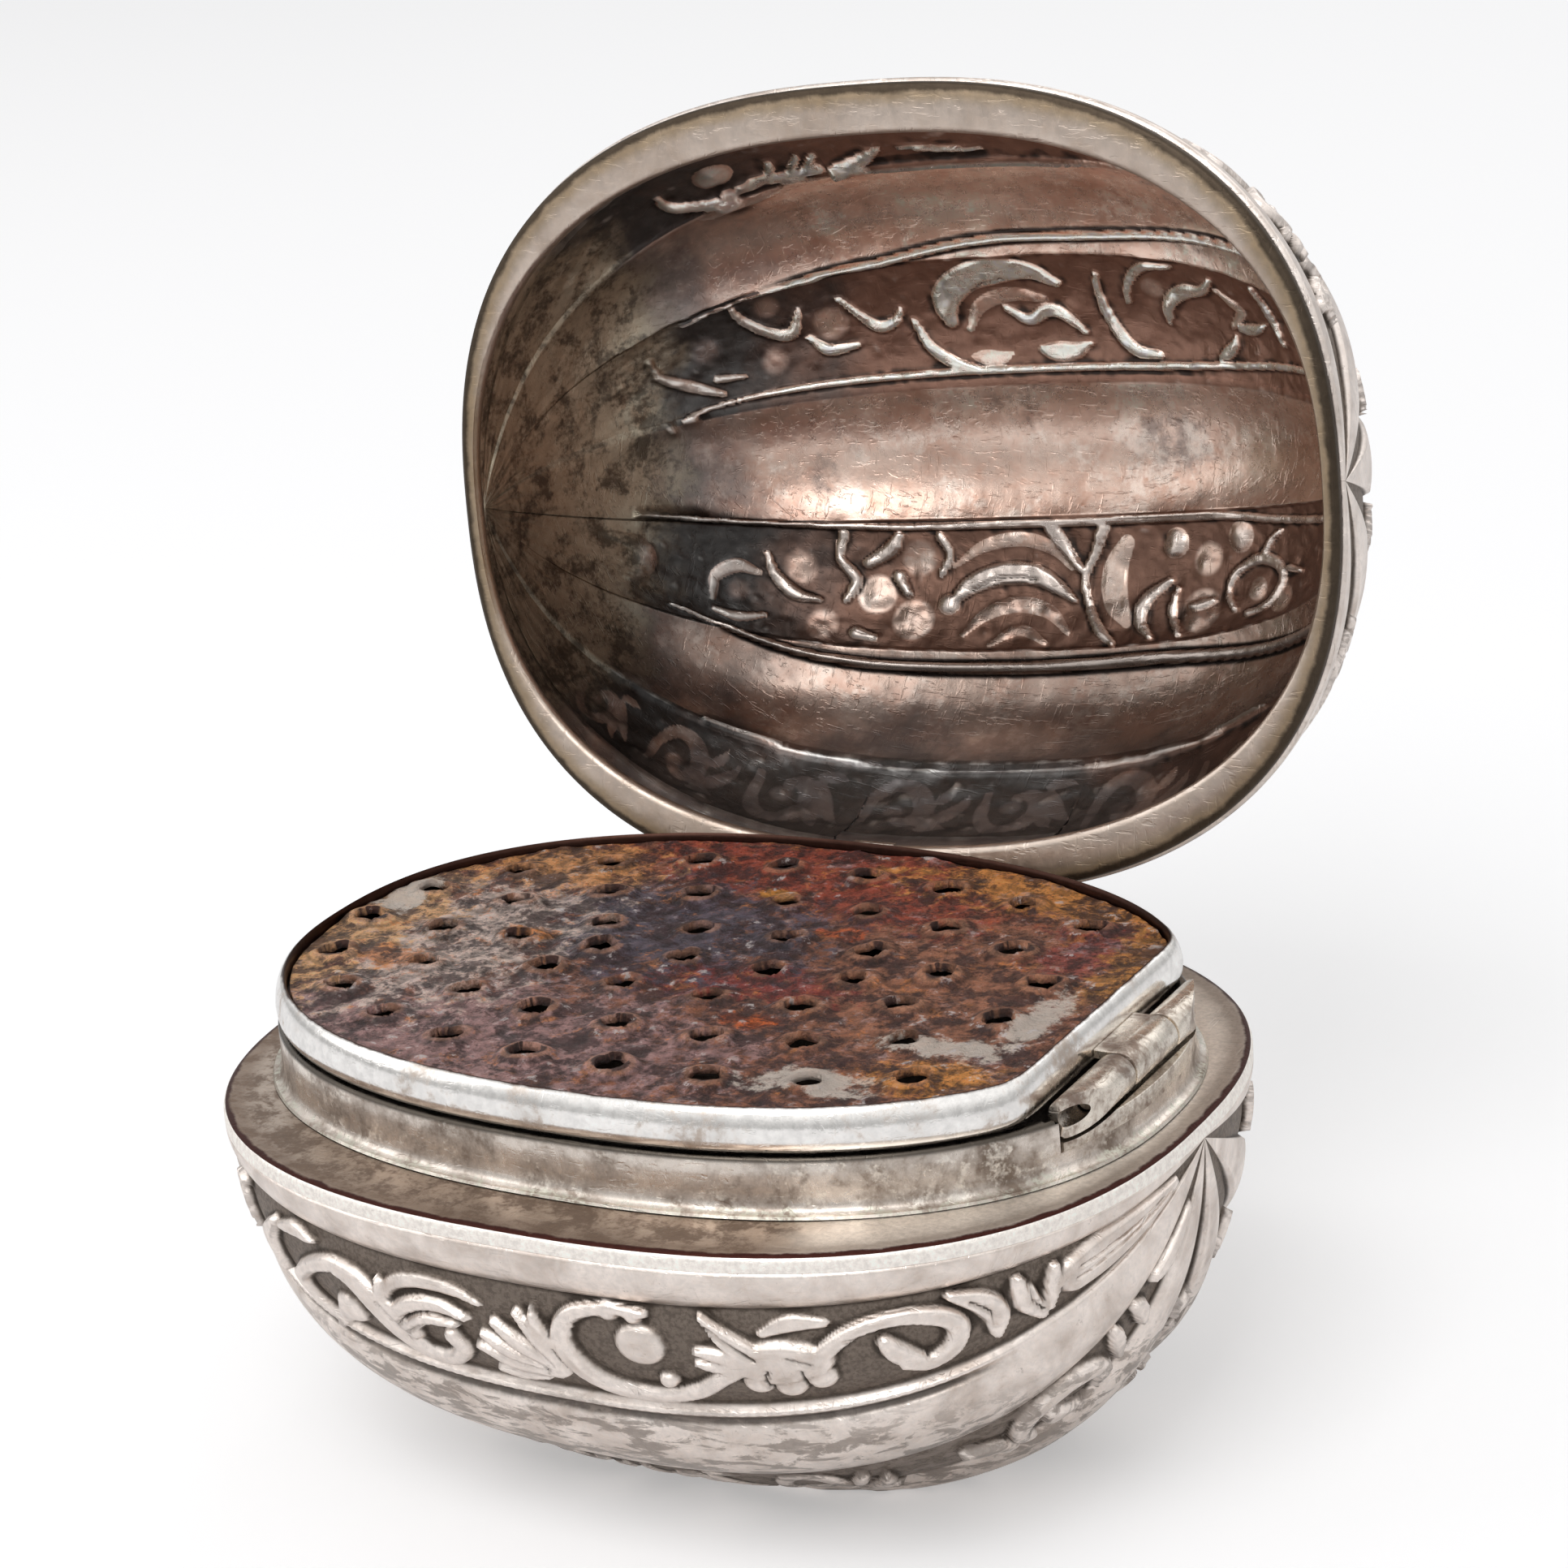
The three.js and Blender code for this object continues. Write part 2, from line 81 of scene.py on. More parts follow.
collar_half_length, collar_half_width, collar_power, collar_shift = 18.5, 13.86, 2.3, -0.1
frame_chord, frame_lip, frame_bottom, shelf_top = 16.3, 0.5, 2.37, 3.28
plate_top, plate_thickness, plate_gap, burr_top = 3.78, 0.32, 0.12, 4.12
plate_inset = frame_lip + plate_gap
hole_radius, hole_spacing, row_spacing, burr_reach = 0.66, 3.8, 3.6, 0.7
pivot_x, pivot_z, barrel_radius, bore_radius = 17.3, 2.2, 0.8, 0.37
barrel_half_length, front_knuckle_end, back_knuckle_end = 6.1, -1.65, 2.45
middle_knuckle_low, middle_knuckle_high = -1.5, 2.3

hinge_y, hinge_z, hinge_skew, lid_opening = 16.65, 1.3, 4.07, 97.17
notch_half, notch_drop = 5.25, 1.1
lid_wall, lining_start, lining_depth = 0.46, 0.48, 0.75
lid_hinge_half_length, lid_knuckle_gap, lid_knuckle_radius, lid_bore_radius = 5.0, 0.15, 0.85, 0.42
print("the nut is", 2 * nut_half_length, "mm long and", 2 * nut_half_width, "mm wide")

# %% [markdown]
# ## Helpers for bending sheets
# Almost every part here is a sheet or a ring of metal with a measured section. One helper serves
# them all: it adds Blender's grid primitive, bends it by a formula to a sheet of points, welds the
# seams, and turns the faces outwards. Extruding each ring by hand would give the same closed loops
# with many more steps.

# %% Bend a grid into a closed piece
def clear_selection():
    if bpy.context.object and bpy.context.object.mode != "OBJECT":
        bpy.ops.object.mode_set(mode="OBJECT")
    bpy.ops.object.select_all(action="DESELECT")


def bent_grid(name, points, smooth_angle=None, values=None):
    columns, rows = points.shape[0] - 1, points.shape[1] - 1
    clear_selection()
    bpy.ops.mesh.primitive_grid_add(x_subdivisions=columns, y_subdivisions=rows, size=2)
    piece = bpy.context.object
    piece.name = piece.data.name = name
    mesh = piece.data
    flat = np.empty(3 * len(mesh.vertices))
    mesh.vertices.foreach_get("co", flat)
    flat = flat.reshape(-1, 3)
    column = np.rint((flat[:, 0] + 1) / 2 * columns).astype(int)
    row = np.rint((flat[:, 1] + 1) / 2 * rows).astype(int)
    placed = points[column, row] * MM
    placed[:, 2] += rim_height * MM
    mesh.vertices.foreach_set("co", placed.ravel())
    for key, field in (values or {}).items():
        layer = mesh.attributes.new(key, "FLOAT", "POINT")
        layer.data.foreach_set("value", np.broadcast_to(field, points.shape[:2])[column, row])
    bpy.ops.object.mode_set(mode="EDIT")
    bpy.ops.mesh.select_all(action="SELECT")
    bpy.ops.mesh.remove_doubles(threshold=2e-6)
    bpy.ops.mesh.dissolve_degenerate(threshold=1e-7)
    bpy.ops.mesh.normals_make_consistent(inside=False)
    bpy.ops.object.mode_set(mode="OBJECT")
    if smooth_angle is None:
        bpy.ops.object.shade_smooth()
    else:
        bpy.ops.object.shade_smooth_by_angle(angle=math.radians(smooth_angle))
    return piece


def finish_piece(piece, body, slot, *nodes):
    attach(piece, body)
    if nodes:
        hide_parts(*nodes)
    print(piece.name, "rides on", body, "with", len(piece.data.polygons), "faces")


print("drawn in mm, scaled by", MM, "and raised by", rim_height, "mm")

# %% Ovals in plan
def signed_power(value, power):
    return np.sign(value) * np.abs(value) ** power


def oval(angles, half_x, half_y, power, shift=0.0):
    x = shift + half_x * signed_power(np.cos(angles), 2 / power)
    y = half_y * signed_power(np.sin(angles), 2 / power)
    return np.stack([x, y], -1)


def walk_over(outline):
    """The distance walked along an outline, from 0 at its first point."""
    return np.concatenate([[0], np.cumsum(np.hypot(*np.diff(outline, axis=0).T))])


def even_angles(count, half_x, half_y, power, extra=()):
    fine = np.linspace(0, 2 * np.pi, 20001)
    walk = walk_over(oval(fine, half_x, half_y, power))
    angles = np.interp(np.linspace(0, walk[-1], count + 1), walk, fine)
    return np.unique(np.round(np.concatenate([angles, extra]), 9))


def either_side(*places, step=1e-3):
    """Two points close beside each place, so that a corner there stays sharp."""
    return [place + off for place in places for off in (-step, step)]


def collar_reach(y):
    share = np.clip(np.abs(y) / collar_half_width, 0, 1) ** collar_power
    return collar_shift + collar_half_length * (1 - share) ** (1 / collar_power)


def closed(outer, inner):
    """Two sheets side by side, and the first row again, so that the weld closes them."""
    return np.concatenate([outer, inner, outer[:, :1]], 1)


def ring_points(outline_at, section):
    loops = [np.column_stack([outline_at(offset), np.full(len(outline_at(offset)), height)])
             for offset, height in section]
    return np.stack(loops + loops[:1], 1)


print("the collar reaches", round(float(collar_reach(0.0)), 2), "mm at the hinge's end")

# %% [markdown]
# ## The carved surface
# The shells are worked from sheet silver. Furrows run from pole to pole and part smooth lobes from
# sunken bands, and in the bands scrolls, leaves and beads stand up from a dark ground. A place on a
# shell is given by how far it lies along the nut, in millimetres from the middle, and by its angle
# round the poles. The chasing is a height over that map, so it can be drawn like ink: a stroke is a
# smooth line with a width that swells and fades, a bead is a short one, and a vein is a stroke that
# cuts in instead of standing up.

# %% The nut's map
meridian = np.linspace(-np.pi / 2, np.pi / 2, 4001)
girth_radius = 17.0


def girth_at(turn):
    return np.abs(np.cos(turn)) ** (2 / nut_power)


def walk_along():
    x = nut_half_length * signed_power(np.sin(meridian), 2 / nut_power)
    girth = girth_at(meridian)
    girth[[0, -1]] = 0
    walked = np.concatenate([[0], np.cumsum(np.hypot(np.diff(x), girth_radius * np.diff(girth)))])
    return walked - walked[-1] / 2


walked = walk_along()


def furrow_edges(furrows):
    back = [180 - angle for angle in reversed(furrows)]
    return np.array([-furrows[0], *furrows, *back, 180 + furrows[0]])


def gore_at(angle, furrows):
    edges = furrow_edges(furrows)
    gore = np.clip(np.searchsorted(edges, angle, side="right") - 1, 0, len(edges) - 2)
    across = 2 * (angle - edges[gore]) / (edges[gore + 1] - edges[gore]) - 1
    return gore, across


def nut_surface(along, angle, size, rim, upward, furrows):
    half_length, half_width, depth = size
    turn = np.interp(along, walked, meridian)
    girth = np.where(np.abs(along) > walked[-1] - 1e-6, 0, girth_at(turn))
    sink = 0.0
    if furrows:
        gore, across = gore_at(angle, furrows)
        rise = np.where(gore % 2 == 0, lobe_rise, band_rise)
        sink = (lobe_rise - rise * (1 - across**2)) * np.minimum(1, girth / lobe_fade)
    lift = np.where((angle < 1e-6) | (angle > 180 - 1e-6), 0, np.sin(np.radians(angle)))
    x = half_length * signed_power(np.sin(turn), 2 / nut_power)
    y = -(half_width * girth - sink) * np.cos(np.radians(angle))
    return np.stack([x, y, rim + upward * (depth * girth - sink) * lift], -1)


print("from the middle of the nut to a pole it is", round(walked[-1], 1), "mm over the surface")

# %% Strokes of the chasing
def smooth_line(knots):
    """A smooth line through the knots, with a point for every eighth of a millimetre or so."""
    knots = np.asarray(knots, float)
    padded = np.vstack([2 * knots[0] - knots[1], knots, 2 * knots[-1] - knots[-2]])
    line = []
    for k in range(1, len(padded) - 2):
        a, b, c, d = padded[k - 1:k + 3]
        steps = 2 + int(math.hypot(c[0] - b[0], 0.3 * (c[1] - b[1])) / 0.12)
        for t in np.linspace(0, 1, steps, endpoint=False):
            line.append(0.5 * ((2 * b) + (c - a) * t + (2 * a - 5 * b + 4 * c - d) * t**2
                               + (3 * b - a - 3 * c + d) * t**3))
    return np.array(line + [padded[-2]])


def eased(share):
    """A straight change from 0 to 1 made soft at both ends."""
    return share**2 * (3 - 2 * share)


def spread(widths, count):
    if np.isscalar(widths):
        return [widths] * count
    places = np.linspace(0, 1, len(widths))
    return np.interp(np.linspace(0, 1, count), places, widths)


def stroke(knots, widths, height=1.0):
    """Knots are (along in mm, angle in degrees); widths are half widths in mm at each knot."""
    knots = [(along, angle, width) for (along, angle), width in zip(knots, spread(widths, len(knots)))]
    return smooth_line(knots), height


def bead(along, angle, radius, height=1.0):
    return np.array([[along, angle, radius]]), height


def leaf(root, tip, bend, width, height=1.0):
    """A leaf from root to tip, bowed sideways by bend millimetres."""
    root, tip = np.array(root, float), np.array(tip, float)
    step = tip - root
    side = np.array([-step[1] * 0.3, step[0] / 0.3])
    side = side / max(1e-6, np.hypot(side[0], side[1] * 0.3)) * bend
    knots = [root, root + step * 0.3 + side * 0.8, root + step * 0.65 + side, tip]
    return stroke(knots, [0.45 * width, width, 0.8 * width, 0.12 * width], height)


def raised(strokes, along, angle):
    """The greatest height of any stroke at every place of the map."""
    girth = np.interp(along[:, 0], walked, np.clip(girth_at(meridian), 0.02, 1))
    degree = np.radians(1) * girth_radius * girth[:, None]
    height = np.zeros(along.shape)
    for line, top in strokes:
        reach = line[:, 2].max() + 0.05
        columns = np.flatnonzero((along[:, 0] > line[:, 0].min() - reach)
                                 & (along[:, 0] < line[:, 0].max() + reach))
        rows = np.flatnonzero((angle[0] > line[:, 1].min() - reach / 0.1)
                              & (angle[0] < line[:, 1].max() + reach / 0.1))
        if not len(columns) or not len(rows):
            continue
        patch = np.ix_(columns, rows)
        best = height[patch]
        for s, a, w in line:
            away = ((along[patch] - s) ** 2 + ((angle[patch] - a) * degree[columns]) ** 2) / w**2
            if len(line) == 1:
                shape = np.sqrt(np.clip(1 - away, 0, 1))
            else:
                shape = np.clip((1 - np.sqrt(away)) / 0.45, 0, 1)
                shape = eased(shape) * (1 - 0.16 * np.clip(away, 0, 1))
            best = np.maximum(best, top * shape)
        height[patch] = best
    return height


def softened(field, reach):
    """A field blurred over a few cells each way, to tell crests from hollows."""
    for axis in (0, 1):
        field = sum(np.roll(field, step, axis) for step in range(-reach, reach + 1)) / (2 * reach + 1)
    return field


print("a leaf 4 mm long is drawn with", len(leaf((0, 0), (4, 0), 0.3, 0.5)[0]), "points")

# %% [markdown]
# ## Motifs in view on the lower shell
# The band under the rim is the showpiece. From left to right it carries an S-scroll that ends in a
# bead, an acanthus frond, a fan of petals, a large C-scroll round a bead, a spear leaf, a second
# scroll with a bud, and leaves that shrink towards the pole. Angles run from the rim downwards.

# %% The band under the rim
front_scrolls = [
    stroke([(-10.2, 25.6), (-11.7, 23.4), (-12.2, 19.5), (-11.2, 15.0), (-9.6, 12.0), (-8.3, 12.6),
            (-7.2, 16), (-6.2, 20.4), (-5.2, 23.2), (-4.1, 22.8), (-3.4, 19.8), (-3.7, 17.4)],
           [0.25, 0.44, 0.46, 0.46, 0.52, 0.7, 0.88, 0.8, 0.6, 0.52, 0.46, 0.42]),
    bead(-9.2, 20.4, 0.85), stroke([(-9.3, 20.6), (-9.9, 23.6)], [0.72, 0.42]),
    stroke([(-13.4, 10.5), (-14.3, 15.5), (-13.9, 22)], [0.3, 0.6, 0.3]),
    stroke([(-12.9, 10.4), (-11.7, 9.2), (-10.6, 9.6)], [0.25, 0.45, 0.15], 0.8),
    stroke([(-6.9, 15), (-6.3, 11.4), (-5.0, 9.6), (-3.3, 9.6), (-2.1, 11)],
           [0.3, 0.42, 0.44, 0.36, 0.15], 0.55),
    stroke([(-6.6, 19), (-6.1, 15.6), (-5.1, 13.2), (-3.9, 12.4), (-2.7, 13.6)], [0.6, 0.52, 0.44, 0.34, 0.12]),
    stroke([(-6.0, 19.8), (-5.4, 17.0), (-4.5, 15.2), (-3.3, 15.2)], [0.44, 0.38, 0.3, 0.12]),
    stroke([(-7.2, 14.5), (-6.6, 16.5), (-5.9, 19.5)], [0.4, 0.8, 0.7]),
    leaf((-7.0, 14.4), (-6.9, 10.4), 0.1, 0.3),
    stroke([(1.1, 20.2), (0.5, 15.6), (-0.4, 10.8)], [0.3, 0.5, 0.2]),
    stroke([(1.0, 20.4), (-0.3, 17.0), (-1.5, 13.0)], [0.26, 0.5, 0.2]),
    stroke([(0.9, 20.6), (-0.9, 18.6), (-2.1, 15.4)], [0.24, 0.48, 0.2]),
    stroke([(0.9, 20.8), (-1.0, 20.2), (-2.4, 17.8)], [0.24, 0.42, 0.2]),
    stroke([(0.3, 21.8), (-0.9, 22.4), (-1.9, 22.0)], [0.16, 0.38, 0.16]),
    leaf((1.0, 15.5), (0.2, 9.4), -0.2, 0.34, 0.85),
    stroke([(4.9, 8.2), (3.4, 8.0), (1.9, 9.8), (1.35, 14), (1.9, 18.8), (3.1, 22.0), (4.9, 22.8),
            (6.5, 21.2), (7.7, 18.2), (8.6, 16.2)],
           [0.24, 0.36, 0.46, 0.56, 0.6, 0.56, 0.48, 0.44, 0.42, 0.4]),
    bead(4.6, 13.4, 1.05), bead(3.5, 8.3, 0.5), bead(4.5, 8.6, 0.42), bead(5.4, 19.4, 0.42),
    stroke([(9.2, 15.4), (8.0, 11.4), (7.1, 7.8)], [0.8, 0.5, 0.12]),
    stroke([(8.5, 15.2), (7.5, 14.0), (6.8, 13.4)], [0.42, 0.36, 0.12]),
    stroke([(8.4, 16.4), (7.4, 16.0), (6.8, 15.4)], [0.34, 0.3, 0.12]),
    stroke([(8.7, 15.6), (9.8, 16.0), (11.2, 15.8)], [0.9, 1.4, 0.85]),
    bead(8.9, 19.4, 0.66), bead(10.0, 20.6, 0.66), bead(11.2, 19.4, 0.66),
    stroke([(9.4, 10.6), (10.4, 9.2), (11.7, 9.4)], [0.25, 0.5, 0.25], 0.6),
    stroke([(11.2, 17.0), (11.7, 14.0), (12.8, 11.2), (14.4, 10.3), (15.9, 11.8), (16.5, 15.2),
            (16.1, 19), (15.1, 20.8), (14.3, 19.4)],
           [0.6, 0.48, 0.44, 0.46, 0.52, 0.56, 0.5, 0.42, 0.38]),
    stroke([(13.8, 14.4), (14.2, 17.2), (14.8, 19.2)], [0.4, 0.62, 0.4]),
    stroke([(16.3, 8.4), (17.4, 11.2), (18.0, 15.4), (17.8, 19.8)], [0.24, 0.6, 0.66, 0.3]),
    stroke([(18.9, 9.4), (19.15, 14.6), (19.6, 20.4)], [0.25, 0.64, 0.42]),
    stroke([(20.5, 10.4), (20.4, 14.6), (20.0, 19.6)], [0.3, 0.46, 0.3]),
    stroke([(21.4, 15.6), (22.8, 15), (25.0, 15.2), (27.6, 16)], [1.1, 1.2, 0.8, 0.2]),
]
front_veins = [
    stroke([(-7.0, 15), (-6.0, 19), (-5.0, 22)], 0.1, 0.7),
    stroke([(-11.5, 20), (-10.8, 16), (-9.4, 13)], 0.1, 0.6),
    stroke([(-6.2, 17.8), (-5.6, 15.6), (-4.6, 13.9), (-3.4, 13.8)], 0.09),
    stroke([(-5.7, 18.6), (-5.0, 16.6), (-4.0, 16.0)], 0.08),
    stroke([(0.7, 18.6), (-0.2, 14.4), (-0.8, 12.2)], 0.1),
    stroke([(0.5, 19.4), (-1.0, 16.8), (-1.7, 14.6)], 0.1),
    stroke([(0.4, 20.2), (-1.1, 19.2), (-2.0, 17.4)], 0.1),
    stroke([(2.0, 11), (1.8, 15), (2.5, 19.6), (4.0, 22)], 0.1, 0.6), bead(4.6, 13.5, 0.3, 0.5),
    stroke([(9.0, 14.6), (8.0, 11.6), (7.4, 9.6)], 0.12), stroke([(9.4, 16.6), (9.2, 18.8), (9.4, 20.4)], 0.12),
    stroke([(10.6, 17), (10.6, 19), (10.7, 20.6)], 0.12), stroke([(10.2, 14.6), (11.0, 16)], 0.12, 0.7),
    stroke([(12.4, 12.6), (14.2, 11.4), (15.4, 13), (15.8, 16.4)], 0.09, 0.7),
    stroke([(17.0, 10.4), (17.7, 13.6), (17.8, 17.6)], 0.1),
    stroke([(19.3, 11), (19.4, 15.4), (19.7, 19.4)], 0.1),
    stroke([(21.4, 16.4), (24, 16), (27, 16.6)], 0.12), stroke([(21.6, 13.6), (24, 13.4), (26.4, 14.4)], 0.1),
]
print(len(front_scrolls), "strokes stand in the band under the rim")

# %% [markdown]
# ## Running scrolls for the bands out of view
# The chaser repeated a few shapes all the way round. Here one repeat is a C-scroll round a bead with
# a leaf on each side, and it is laid along a band in alternating directions, smaller near the poles.

# %% A running band
def scroll_repeat(centre, low, high, flip, size):
    middle, reach = (low + high) / 2, (high - low) / 2
    turn = -1 if flip else 1

    def place(x, y):
        return (centre + size * x, middle + turn * reach * y)

    return [
        stroke([place(-1.9, 0.55), place(-1.8, -0.25), place(-1.0, -0.72), place(0.2, -0.6),
                place(0.85, 0.0), place(0.4, 0.5), place(-0.3, 0.42)],
               [0.26 * size, 0.42 * size, 0.54 * size, 0.58 * size, 0.5 * size, 0.42 * size]),
        bead(*place(-0.55, 0.1), 0.58 * size),
        leaf(place(1.1, 0.6), place(2.9, -0.55), 0.3 * size, 0.56 * size),
        leaf(place(1.0, 0.75), place(2.5, 0.72), -0.15 * size, 0.42 * size),
        leaf(place(1.3, -0.2), place(2.0, -0.8), 0.15 * size, 0.4 * size),
    ]


def running_band(low, high, starts, size=1.0):
    strokes = []
    for index, centre in enumerate(starts):
        shrink = np.interp(abs(centre), [0, 10, 17, 22, 26], [1, 0.95, 0.75, 0.5, 0.25])
        strokes += scroll_repeat(centre, low, high, index % 2 == 1, size * shrink)
    return strokes


whole_length = [-22.5, -18.6, -14, -8.7, -3.1, 2.5, 8.1, 13.4, 18, 21.8]

side_scrolls = [
    stroke([(14.0, 53), (15.0, 56), (15.2, 60), (14.6, 64)], [0.3, 0.55, 0.55, 0.3]),
    stroke([(15.9, 62), (16.1, 56), (17.2, 51.4), (18.9, 50.6), (20.0, 54), (20.1, 59), (19.3, 63.4)],
           [0.4, 0.5, 0.55, 0.62, 0.6, 0.52, 0.4]),
    stroke([(17.6, 56.0), (17.5, 60.0), (17.9, 64)], [0.4, 0.7, 0.4]),
    stroke([(21.6, 48.6), (21.5, 53.5), (20.9, 59.5)], [0.25, 0.5, 0.25]),
    stroke([(22.9, 50), (23.0, 55), (22.5, 61)], [0.25, 0.5, 0.25]),
    stroke([(24.4, 52), (25.4, 56), (27.5, 58)], [0.35, 0.5, 0.15]),
]
base_strokes = (front_scrolls + side_scrolls
                + running_band(8.5, 24.5, [-22.6, -18.3])
                + running_band(48, 64, whole_length[:7])
                + running_band(84, 96, [-22, -17.5, 17.5, 22], 0.7)
                + running_band(116, 132, whole_length) + running_band(155.5, 171.5, whole_length))
print(len(base_strokes), "strokes on the lower shell")

# %% [markdown]
# ## The lower shell
# The shell is one closed piece: the chased outside, the plain inside, and the flat rim between. The
# grid is close where there is chasing in view and open on the smooth lobes and behind, so that the
# detail goes where it shows. The ground of each band is sunk, the strokes rise from it, and a thin
# bead line edges the band under the rim. Each point keeps two values for the finish: how high it
# stands in the chasing, and whether it is a crest or a hollow next to the places round it.

# %% Rows and columns of the shells
def rows_between(*stretches):
    """Angles in stretches of (low, high, steps)."""
    parts = [np.linspace(low, high, steps, endpoint=False) for low, high, steps in stretches]
    return np.append(np.concatenate(parts), 180.0)


def columns_between(*stretches, extra=()):
    """Places along the nut in stretches of (low, high, spacing)."""
    parts = [np.arange(low, high, spacing) for low, high, spacing in stretches]
    places = np.concatenate([*parts, [walked[-1]], extra])
    return np.unique(np.round(np.clip(places, -walked[-1], walked[-1]), 5))


pole = walked[-1]


def carved_heights(along, angle, furrows, strokes, veins, everywhere=False):
    """Chasing height in mm, how high each place stands from 0 to 1, and a crest-to-hollow value."""
    gore, across = gore_at(angle, furrows)
    in_band = gore % 2 == 1
    fade = np.clip((pole - np.abs(along)) / 5.0, 0, 1)
    edge = eased(np.clip((1 - np.abs(across)) / 0.08, 0, 1))
    marked = in_band | everywhere
    top = np.where(marked, raised(strokes, along, angle), 0)
    cut = np.where(marked, raised(veins, along, angle), 0)
    ground = np.where(in_band, edge, 0)
    height = (-0.32 * ground + 0.44 * top - 0.2 * cut * np.clip(2 * top, 0, 1)) * fade
    stands = np.where(in_band, np.maximum(1 - edge, np.clip(top - 0.5 * cut, 0, 1)), 1)
    hollow = (softened(height, 3) - height) / 0.14
    seam = np.clip(1 - (1 - np.abs(across)) / 0.07, 0, 1) * np.clip((pole - np.abs(along)) / 3, 0, 1)
    return height, stands, np.clip(0.5 + 0.5 * hollow + 0.4 * seam, 0, 1)


def normals_of(points):
    across = np.cross(np.gradient(points, axis=0), np.gradient(points, axis=1))
    length = np.linalg.norm(across, axis=-1, keepdims=True)
    return across / np.maximum(length, 1e-9)


base_rows = rows_between((0, 6.2, 6), (6.2, 26.2, 58), (26.2, 30.2, 12), (30.2, 46, 10), (46, 65.5, 44),
                         (65.5, 83, 8), (83, 97, 10), (97, 114.5, 8), (114.5, 134, 22), (134, 149.8, 8),
                         (149.8, 153.8, 10), (153.8, 173.8, 26), (173.8, 180, 5))
base_columns = columns_between((-pole, -14.5, 0.32), (-14.5, 24, 0.125), (24, pole, 0.2))
print(len(base_columns), "by", len(base_rows), "points over the lower shell")

# %% The lower shell itself
def outward_sign(points, rim):
    """-1 where the sheet's normals point away from the nut's middle, 1 where they point at it."""
    normal = normals_of(points)
    middle = points[points.shape[0] // 2, points.shape[1] // 2]
    away = middle - np.array([0, 0, rim])
    return -np.sign(np.dot(normal[points.shape[0] // 2, points.shape[1] // 2], away))


def lower_shell():
    along, angle = np.meshgrid(base_columns, base_rows, indexing="ij")
    size = (nut_half_length, nut_half_width, base_depth)
    outside = nut_surface(along, angle, size, base_rim, -1, base_furrows)
    height, stands, hollow = carved_heights(along, angle, base_furrows, base_strokes, front_veins)
    height = height * np.clip((angle / 1.5), 0, 1) * np.clip((180 - angle) / 1.5, 0, 1)
    under = np.clip((11 - along) / 3, 0, 1) * ((angle > 46) & (angle < 65.5))
    height = height * (1 - 0.75 * under) - 0.25 * under * np.clip((angle - 46) / 4, 0, 1)
    ends = np.clip((19 - np.abs(along)) / 4, 0, 1)
    line = np.maximum(np.exp(-((angle - 26.6) / 0.4) ** 2), np.exp(-((angle - 153.4) / 0.4) ** 2)) * ends
    height = height + 0.16 * line * (0.85 + 0.15 * np.cos(along * 14))
    dip = (np.exp(-((angle - 28.1) / 0.85) ** 2) + np.exp(-((angle - 151.9) / 0.85) ** 2)) * ends
    height = height - 0.24 * dip
    hollow = np.clip(hollow - 0.6 * line + 0.6 * dip, 0, 1)
    outside = outside - normals_of(outside) * height[..., None] * outward_sign(outside, base_rim)
    outside[..., 2] = np.maximum(outside[..., 2], foot_level)
    outside[..., 2] = np.where((angle < 1e-6) | (angle > 179.999), base_rim, outside[..., 2])
    cavity = (nut_half_length - 1.5, nut_half_width - 1.5, base_depth - 1.8 - 1.6)
    inner_along, inner_angle = np.meshgrid(base_columns, np.linspace(180, 0, 17), indexing="ij")
    inside = nut_surface(inner_along, inner_angle, cavity, base_rim, -1, None)
    black = np.zeros(inside.shape[:2])
    values = {"stands": closed(stands, black), "hollow": closed(hollow, black + 1)}
    return bent_grid("chased_lower_shell", closed(outside, inside), values=values)


shell = lower_shell()
finish_piece(shell, "base", "carved_silver", "lower_shell")

# %% [markdown]
# ## Ledge, collar and frame
# Three flat or upright rings stand on the shell: the broad ledge, the collar that the lid closes
# over, and the polished frame of the grater. A ring is a section of offsets and heights carried
# round an oval. The sections have softened edges, because old silver has no sharp ones.

# %% The ledge
rim_angles = even_angles(300, nut_half_length, nut_half_width, nut_power)


def rim_outline(offset):
    return oval(rim_angles, nut_half_length + offset, nut_half_width + offset, nut_power)


def on_collar(angles):
    def outline_at(offset):
        return oval(angles, collar_half_length + offset, collar_half_width + offset,
                    collar_power, collar_shift)
    return outline_at


def rim_inset(points):
    """How far each point lies inside the nut's rim, from 0 at the rim to 1 at 2 mm."""
    share = (np.abs(points[..., 0] / nut_half_length) ** nut_power
             + np.abs(points[..., 1] / nut_half_width) ** nut_power) ** (1 / nut_power)
    return np.clip((1 - share) * np.hypot(points[..., 0], points[..., 1]) / 2, 0, 1)


def ledge_points():
    outside = [(0, -0.68), (0, -0.3), (-0.04, -0.16), (-0.13, -0.06), (-0.26, -0.01), (-0.4, -0.02),
               (-0.9, -0.06)]
    outer = ring_points(rim_outline, outside)[:, :-1]
    inner_outline = oval(rim_angles, collar_half_length - 0.5, collar_half_width - 0.5,
                         collar_power, collar_shift)
    step = [np.column_stack([inner_outline, np.full(len(rim_angles), z)]) for z in (-0.02, -0.68)]
    return closed(outer, np.stack(step, 1))


def ledge_values(points):
    """Inset from the rim, minus one on the upright edge, and distance from the hinge's end, 0 to 1."""
    inset = rim_inset(points)
    inset[:, [0, 1, 2, -1]] = -1
    return {"inset": inset, "from_end": np.clip((14 - points[..., 0]) / 10, 0, 1)}


